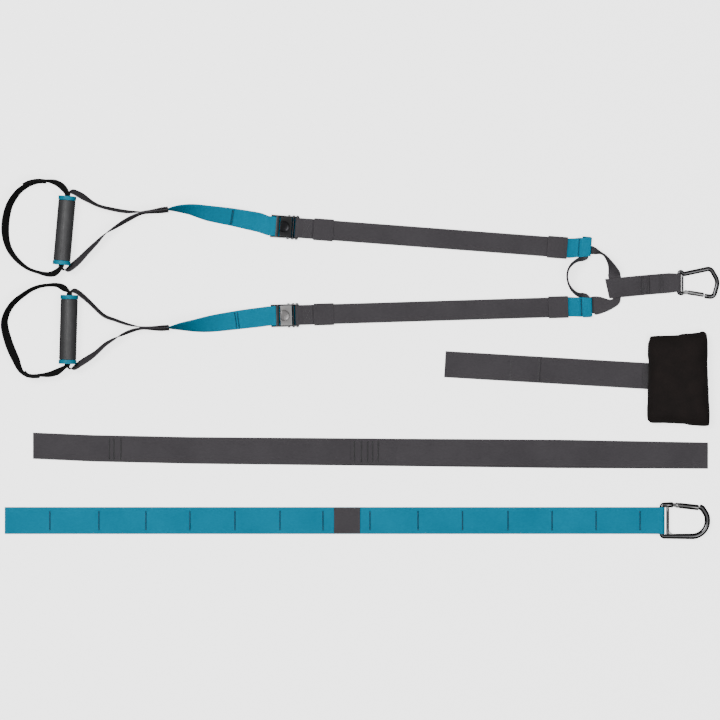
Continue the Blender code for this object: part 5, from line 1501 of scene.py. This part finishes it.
# %% Shapes of the two carabiners
HOOK = {
    "frame": [(50.4, -25.6, 0.0), (67, -27.5, 9), (75.5, 2, 24), (61, 27, 9), (10.2, 16.2, 4),
              (1.2, 24.2, 3.0), (0.0, -21.4, 3.4), (7.5, -20.4, 0.0)],
    "radius": HOOK_RADIUS, "swell": 1.3 * MM, "rib": 7.8 * MM, "rib_radius": 2.0 * MM, "reach": 19 * MM,
    "hinge": (14.1, -18.2), "gate_radius": 3.6 * MM, "gate_swell": 1.16, "level": 0.0}
DEE = {
    "frame": [(73.2, 25.4, 0.0), (77, 24.4, 6), (87, 9, 24), (87, -30, 29), (0.0, -30, 4.5),
              (0.0, 30.0, 4.5), (20.5, 30.0, 0.0)],
    "radius": DEE_RADIUS, "swell": 1.4 * MM, "rib": 11.6 * MM, "rib_radius": 2.9 * MM, "reach": 28 * MM,
    "hinge": (29.6, 29.1), "gate_radius": 4.4 * MM, "gate_swell": 1.2, "level": 3.6}
DEE_PLATES = (
    [(2, 24.6), (12, 24.6), (15, 23.2), (17, 25.4), (20, 27), (20, 30), (2, 30)],
    [(12, -14), (13.6, -18), (16.6, -21.8), (20.6, -24.6), (26, -26.6), (34, -27.4), (34, -30), (2, -30),
     (2, -25), (12, -25)])
print("corners of the hook and the D:", len(HOOK["frame"]), len(DEE["frame"]))

# %% [markdown]
# Each frame above is a list of corners: two distances from the middle of the straight side and the
# radius of the bend, in millimetres. The sweep turns each corner into an arc, sets a ring of points
# on every place of the path, and closes the two ends with a low dome.

# %% Swept bars and plates
TILT = math.radians(0.4)
TANG = 3 * MM
TANG_GAP = 0.4 * MM
GATE_PIN = 1.2 * MM
SWELL_REACH = 12 * MM
DOME_SHARE = 0.35
DOME_SHARES = ((0.7, 0.86), (1.0, 0.6))
PLATE_THICKNESS = 3.4 * MM


def rounded(corners, step=6):
    """A path through corners of (x, y, radius) in millimetres, each turned into an arc."""
    path = [Vector((*corners[0][0:2], 0.0))]
    for before, here, after in zip(corners, corners[1:], corners[2:]):
        corner = Vector((*here[0:2], 0.0))
        into = (corner - Vector((*before[0:2], 0.0))).normalized()
        out = (Vector((*after[0:2], 0.0)) - corner).normalized()
        turn = into.angle(out)
        sense = 1 if into.cross(out).z > 0 else -1
        start = corner - into * here[2] * math.tan(turn / 2)
        centre = start + UP.cross(into) * here[2] * sense
        parts = max(2, math.ceil(math.degrees(turn) / step))
        for part in range(parts + 1):
            path.append(centre + Matrix.Rotation(sense * turn * part / parts, 3, "Z") @ (start - centre))
    path.append(Vector((*corners[-1][0:2], 0.0)))
    return [place * MM for place in path]


def swept(made, path, radius, matrix, sides=28, swell=0.0):
    """Add a round bar along a path to a bmesh, thicker away from the strap, with softly domed ends."""
    last = len(path) - 1
    tangents = [(path[min(k + 1, last)] - path[max(k - 1, 0)]).normalized() for k in range(last + 1)]
    places = [(place, k, 1.0) for k, place in enumerate(path)]
    dome = DOME_SHARE * radius
    for out, share in DOME_SHARES:
        places.insert(0, (path[0] - tangents[0] * dome * out, 0, share))
        places.append((path[-1] + tangents[-1] * dome * out, last, share))
    rings = []
    for place, index, share in places:
        side = UP.cross(tangents[index]).normalized()
        here = (radius + swell * min(1.0, max(0.0, place.x / SWELL_REACH))) * share
        rings.append([made.verts.new(matrix @ (place + (side * math.cos(math.tau * k / sides)
                                                        + UP * math.sin(math.tau * k / sides)) * here))
                      for k in range(sides)])
    for ring, following in zip(rings, rings[1:]):
        for k in range(sides):
            made.faces.new((ring[k], ring[(k + 1) % sides], following[(k + 1) % sides], following[k]))
    made.faces.new(rings[0])
    made.faces.new(rings[-1])


def slab(made, low, high, matrix):
    """Add a box between two corners to a bmesh."""
    corners = [made.verts.new(matrix @ Vector((x, y, z)))
               for x in (low[0], high[0]) for y in (low[1], high[1]) for z in (low[2], high[2])]
    for face in ((0, 1, 3, 2), (4, 6, 7, 5), (0, 4, 5, 1), (2, 3, 7, 6), (0, 2, 6, 4), (1, 5, 7, 3)):
        made.faces.new([corners[k] for k in face])


def plate(outline, matrix):
    """A flat plate from an outline of (x, y) places in millimetres."""
    made = bmesh.new()
    rims = [[made.verts.new(matrix @ Vector((x * MM, y * MM, height))) for x, y in outline]
            for height in (-PLATE_THICKNESS / 2, PLATE_THICKNESS / 2)]
    for rim in rims:
        made.faces.new(rim)
    count = len(outline)
    for k in range(count):
        made.faces.new((rims[0][k], rims[0][(k + 1) % count], rims[1][(k + 1) % count], rims[1][k]))
    return made


def joined(*parts):
    """One bmesh from several."""
    whole = bmesh.new()
    for part in parts:
        mesh = meshed("part", part)
        whole.from_mesh(mesh)
        bpy.data.meshes.remove(mesh)
    bmesh.ops.recalc_face_normals(whole, faces=whole.faces)
    return whole


print("the hook's path has", len(rounded(HOOK["frame"])), "places")

# %% [markdown]
# The frame's last corner is the neck, from which a flat tang runs to the hinge and ends in a round
# eye. The slotted gate sits over that eye and a bright rivet goes through both. The gate's spring
# lies inside it and keeps its CAD mesh. The large carabiner has a bright plate in two corners.

# %% Carabiners
SLAB_SHARE = 0.49
EYE_EDGE = 0.2 * MM
RIVET_EDGE = 0.25 * MM
RIVET_BORE = 0.05 * MM
GATE_EDGE = 0.25 * MM
PLATE_EDGE = 0.4 * MM


def carabiner(name, place, shape, gate_finish):
    """A carabiner's bar with its rib, tang and eye, its rivet and its gate."""
    matrix = Matrix.Translation(place) @ Matrix.Rotation(TILT, 4, "Y")
    hinge = Vector((*shape["hinge"], 0.0)) * MM
    neck = Vector((*shape["frame"][-1][0:2], 0.0)) * MM
    radius = shape["gate_radius"]
    bar = bmesh.new()
    swept(bar, rounded(shape["frame"]), shape["radius"], matrix, swell=shape["swell"])
    rib = [Vector((shape["rib"], side * shape["reach"], 0.0)) for side in (-1, -0.5, 0, 0.5, 1)]
    swept(bar, rib, shape["rib_radius"], matrix, sides=16)
    way = hinge - neck
    tang = matrix @ Matrix.Translation((hinge + neck) / 2) @ Matrix.Rotation(math.atan2(way.y, way.x), 4, "Z")
    wide = (radius - TANG_GAP) * 0.9
    slab(bar, (-way.length / 2 - TANG_GAP * 3, -wide, -TANG * SLAB_SHARE),
         (way.length / 2, wide, TANG * SLAB_SHARE), tang)
    upright = matrix @ Matrix.Translation(hinge) @ Matrix.Rotation(-math.pi / 2, 4, "Y")
    eye = broken([(-TANG / 2, GATE_PIN + PIN_GAP), (TANG / 2, GATE_PIN + PIN_GAP),
                  (TANG / 2, radius - TANG_GAP), (-TANG / 2, radius - TANG_GAP)], EYE_EDGE)
    solid(name + "_bar", joined(bar, turned(eye, upright, 32)), GLOSS_METAL, name, "gloss_metal",
          name + "_body", sharp=50)
    head = broken([(-radius * 0.9, RIVET_BORE), (radius * 0.9, RIVET_BORE), (radius * 0.9, GATE_PIN),
                   (-radius * 0.9, GATE_PIN)], RIVET_EDGE)
    solid(name + "_rivet", turned(head, upright, 24), BRIGHT_METAL, name, "buckle_metal", name + "_gate_pin")
    gate = bevelled(merged(name + "_gate"), GATE_EDGE)
    fuller = Matrix.Diagonal((1.0, shape["gate_swell"], shape["gate_swell"], 1.0))
    level = Matrix.Rotation(math.radians(shape["level"]), 4, "Z")
    own = matrix @ Matrix.Translation(hinge)
    bmesh.ops.transform(gate, verts=gate.verts, matrix=own @ level @ fuller @ own.inverted())
    solid(name + "_gate_arm", gate, gate_finish, name + "_gate", "gloss_metal", name + "_gate", sharp=30)


HOOK_PLACE = at(*HOOK_BAR, WEBBING + PLY_GAP + HOOK_RADIUS)
DEE_PLACE = at(*DEE_BAR, WEBBING + PLY_GAP + DEE_RADIUS)
carabiner("carabiner", HOOK_PLACE, HOOK, STEEL_AND_LEVER_PAINTED_LIGHT)
carabiner("ladder_carabiner", DEE_PLACE, DEE, GLOSS_METAL)
for node in ("carabiner_gate_spring", "ladder_carabiner_gate_spring"):
    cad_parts[node].data.materials[0] = SPRING_STEEL
level = Matrix.Translation(DEE_PLACE)
plates = bevelled(joined(*[plate(outline, level) for outline in DEE_PLATES]), PLATE_EDGE)
solid("ladder_carabiner_corner_plates", plates, BRIGHT_METAL, "ladder_carabiner", "gloss_metal")
print("two carabiners at", tuple(HOOK_PLACE), tuple(DEE_PLACE))

# %% [markdown]
# ## The door anchor's cushion
# The cushion is a small bag of cloth, filled hard enough that a door can't pull it through the
# gap. Two sheets are sewn round the edge and the filling swells them, which draws the sides in
# and puckers the seam. The bag starts as two crowned sheets with their sides drawn in, and a cloth
# simulation with pressure inside swells it a little more. Each point may only move a few
# millimetres, so the bag keeps near its CAD solid.

# %% The cushion before it is filled
CUSHION_HEIGHT = 44 * MM
CUSHION_CORNERS = ((648.4, 336.0), (706.6, 331.4), (709.2, 426.0), (646.9, 421.6))
PULL_IN = 4.5 * MM
CORNER_PULL = 4 * MM
MOVE_CAP = 7 * MM
FLOOR_GAP = 0.3 * MM
BOTTOM_LIFT = 0.4 * MM
BOTTOM_CROWN = 1.25


def cushion_place(right, down, crown_share, upper=True):
    """A place on the cushion: right and down run from -1 to 1 between its corners."""
    corners = [at(*corner) for corner in CUSHION_CORNERS]
    top = corners[0].lerp(corners[1], (right + 1) / 2)
    bottom = corners[3].lerp(corners[2], (right + 1) / 2)
    point = top.lerp(bottom, (down + 1) / 2)
    corner_share = (right * down) ** 6
    point.x -= right * (PULL_IN * (1 - down * down) + CORNER_PULL * corner_share)
    point.y += down * (PULL_IN * (1 - right * right) + CORNER_PULL * corner_share)
    crown = math.sqrt(max(0.0, (1 - right ** 4) * (1 - down ** 4))) * crown_share
    if upper:
        return point + UP * (SEAM_HEIGHT + (CUSHION_HEIGHT - SEAM_HEIGHT) * crown)
    return point + UP * (SEAM_HEIGHT * (1 - min(1.0, crown * BOTTOM_CROWN)) + BOTTOM_LIFT)


def bag(steps=28, out=1.02, crown_share=0.9):
    """The sewn bag before it is filled: two sheets that share their edge."""
    made = bmesh.new()
    grid = {}
    for row in range(steps + 1):
        for column in range(steps + 1):
            right, down = 2 * column / steps - 1, 2 * row / steps - 1
            edge = row in (0, steps) or column in (0, steps)
            above = below = made.verts.new(cushion_place(right * out, down * out, crown_share))
            if edge:
                above.co.z = SEAM_HEIGHT
            else:
                below = made.verts.new(cushion_place(right * out, down * out, crown_share, upper=False))
            grid[row, column] = (above, below)
    for row in range(steps):
        for column in range(steps):
            around = [grid[row, column], grid[row, column + 1], grid[row + 1, column + 1],
                      grid[row + 1, column]]
            made.faces.new([pair[0] for pair in around])
            made.faces.new([pair[1] for pair in reversed(around)])
    bmesh.ops.recalc_face_normals(made, faces=made.faces)
    return made


cushion = link("cushion_bag", meshed("cushion_bag", bag()))
print("bag faces:", len(cushion.data.polygons))

# %% [markdown]
# The remesh gives cloth-sized faces all round. The seam and what rests on the floor are held
# still, the pressure pushes the rest out against the cloth's stiffness, and what moves further
# than the cap is brought back.

# %% Filling the cushion
SEAM_HELD = 2.5 * MM
FLOOR_HELD = 1.2 * MM
TOP_GAP = 0.5 * MM


def filled(piece, voxel=4.5 * MM, pressure=4.0, frames=20):
    """Swell a closed bag with a cloth simulation, and leave its result in the mesh."""
    remesh = piece.modifiers.new("remesh", "REMESH")
    remesh.mode = "VOXEL"
    remesh.voxel_size = voxel
    start = as_seen(piece)
    piece.modifiers.clear()
    piece.data = start
    held = piece.vertex_groups.new(name="seam")
    low, high = SEAM_HEIGHT - SEAM_HELD, SEAM_HEIGHT + SEAM_HELD
    still = [index for index, vertex in enumerate(start.vertices)
             if low < vertex.co.z < high or vertex.co.z < FLOOR_HELD]
    held.add(still, 1.0, "REPLACE")
    soft = piece.modifiers.new("cloth", "CLOTH")
    soft.settings.use_pressure = True
    soft.settings.uniform_pressure_force = pressure
    soft.settings.effector_weights.gravity = 0.0
    soft.settings.vertex_group_mass = "seam"
    soft.settings.tension_stiffness = 12.0
    soft.settings.compression_stiffness = 12.0
    soft.settings.bending_stiffness = 0.8
    soft.point_cache.frame_start = 1
    soft.point_cache.frame_end = frames
    scene = bpy.context.scene
    for step in range(1, frames + 1):
        scene.frame_set(step)
    swollen = as_seen(piece)
    moved = 0.0
    for before, after in zip(start.vertices, swollen.vertices):
        way = after.co - before.co
        if way.length > MOVE_CAP:
            after.co = before.co + way * (MOVE_CAP / way.length)
        after.co.z = max(after.co.z, FLOOR_GAP)
        after.co.z = min(after.co.z, CUSHION_HEIGHT - TOP_GAP)
        moved = max(moved, (after.co - before.co).length)
    piece.modifiers.clear()
    piece.vertex_groups.clear()
    piece.data = swollen
    scene.frame_set(1)
    print("filled:", len(swollen.vertices), "points, moved at most", round(moved / MM, 1), "mm")


filled(cushion)

# %% [markdown]
# A filled bag isn't smooth. Its cloth puckers along the sewn edge and has a few long soft creases
# where the corners pull. Small moves of the points, computed from smooth noise, add both, and one
# subdivision rounds them. At the end the bag is stretched over the floor until it is a little
# wider than its CAD solid, as a full bag bulges past its seam.

# %% Creases
EDGE_ZONE = 20 * MM
PUCKER_SCALE = 110.0
PUCKER_DEPTH = 0.7
CREASE_SCALES = (16.0, 34.0)
CREASE_SEED = 3.7
CREASE_DEPTH = 2.2
PUFF = 3.5 * MM


def edge_share(place):
    """How close a place is to the bag's sewn edge, from 0 in the middle to 1 on it."""
    corners = [at(*corner) for corner in CUSHION_CORNERS]
    near = min((place.to_2d() - nearest_on(start.to_2d(), end.to_2d(), place.to_2d())).length
               for start, end in zip(corners, corners[1:] + corners[:1]))
    return max(0.0, 1.0 - near / EDGE_ZONE)


def nearest_on(start, end, place):
    """The nearest place on a straight line between two places."""
    way = end - start
    share = max(0.0, min(1.0, (place - start).dot(way) / way.length_squared))
    return start + way * share


def creased(mesh):
    """Pucker the cloth along its edge and crease it softly across."""
    mesh.update()
    normals = [vertex.normal.copy() for vertex in mesh.vertices]
    for vertex, normal in zip(mesh.vertices, normals):
        share = edge_share(vertex.co)
        pucker = clouds.noise(vertex.co * PUCKER_SCALE) * PUCKER_DEPTH * MM * share
        place = Vector((vertex.co.x * CREASE_SCALES[0], vertex.co.y * CREASE_SCALES[1], CREASE_SEED))
        long_crease = clouds.noise(place) * CREASE_DEPTH * MM
        vertex.co += normal * (pucker + long_crease * (1.0 - share))
        vertex.co.z = min(max(vertex.co.z, FLOOR_GAP), CUSHION_HEIGHT - FLOOR_GAP)


def fitted(mesh, low, high):
    """Stretch the filled bag over the floor until it reaches from one corner to the other."""
    for axis in (0, 1):
        places = [vertex.co[axis] for vertex in mesh.vertices]
        scale = (high[axis] - low[axis]) / (max(places) - min(places))
        for vertex in mesh.vertices:
            vertex.co[axis] = low[axis] + (vertex.co[axis] - min(places)) * scale
    mesh.update()


creased(cushion.data)
rounder = cushion.modifiers.new("rounder", "SUBSURF")
rounder.levels = 1
rounder.render_levels = 1
finished = as_seen(cushion)
cushion.modifiers.clear()
cushion.data = finished
cushion_solid = bpy.data.objects["door_anchor_cushion"]
solid_places = [cushion_solid.matrix_world @ Vector(corner) for corner in cushion_solid.bound_box]
fitted(finished, [min(place[axis] for place in solid_places) - PUFF for axis in (0, 1)],
       [max(place[axis] for place in solid_places) + PUFF for axis in (0, 1)])
cushion.name = "cushion_cloth"
finished.shade_smooth()
finished.materials.clear()
finished.materials.append(BLACK_CLOTH)
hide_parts("door_anchor_cushion")
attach(cushion, "webbing")
print("cushion points:", len(finished.vertices))

# %% [markdown]
# A welt of stitches follows the bag's sewn edge, one closed line at the seam's height.

# %% The welt
WELT = {"spacing": 2.6 * MM, "length": 2.9 * MM, "width": 1.3 * MM, "height": 1.3 * MM}


def hull_line(steps=40, out=1.02):
    """A closed line round the bag's sewn edge."""
    line = []
    for side in range(4):
        for step in range(steps):
            run = 2 * step / steps - 1
            right, down = ((run, -1), (1, run), (-run, 1), (-1, -run))[side]
            place = cushion_place(right * out, down * out, 0.0)
            line.append(Vector((place.x, place.y, SEAM_HEIGHT)))
    return line + [line[0]]


sewn("cushion_welt", [hull_line()], "webbing", "black_cloth", DARK_THREAD, **WELT)
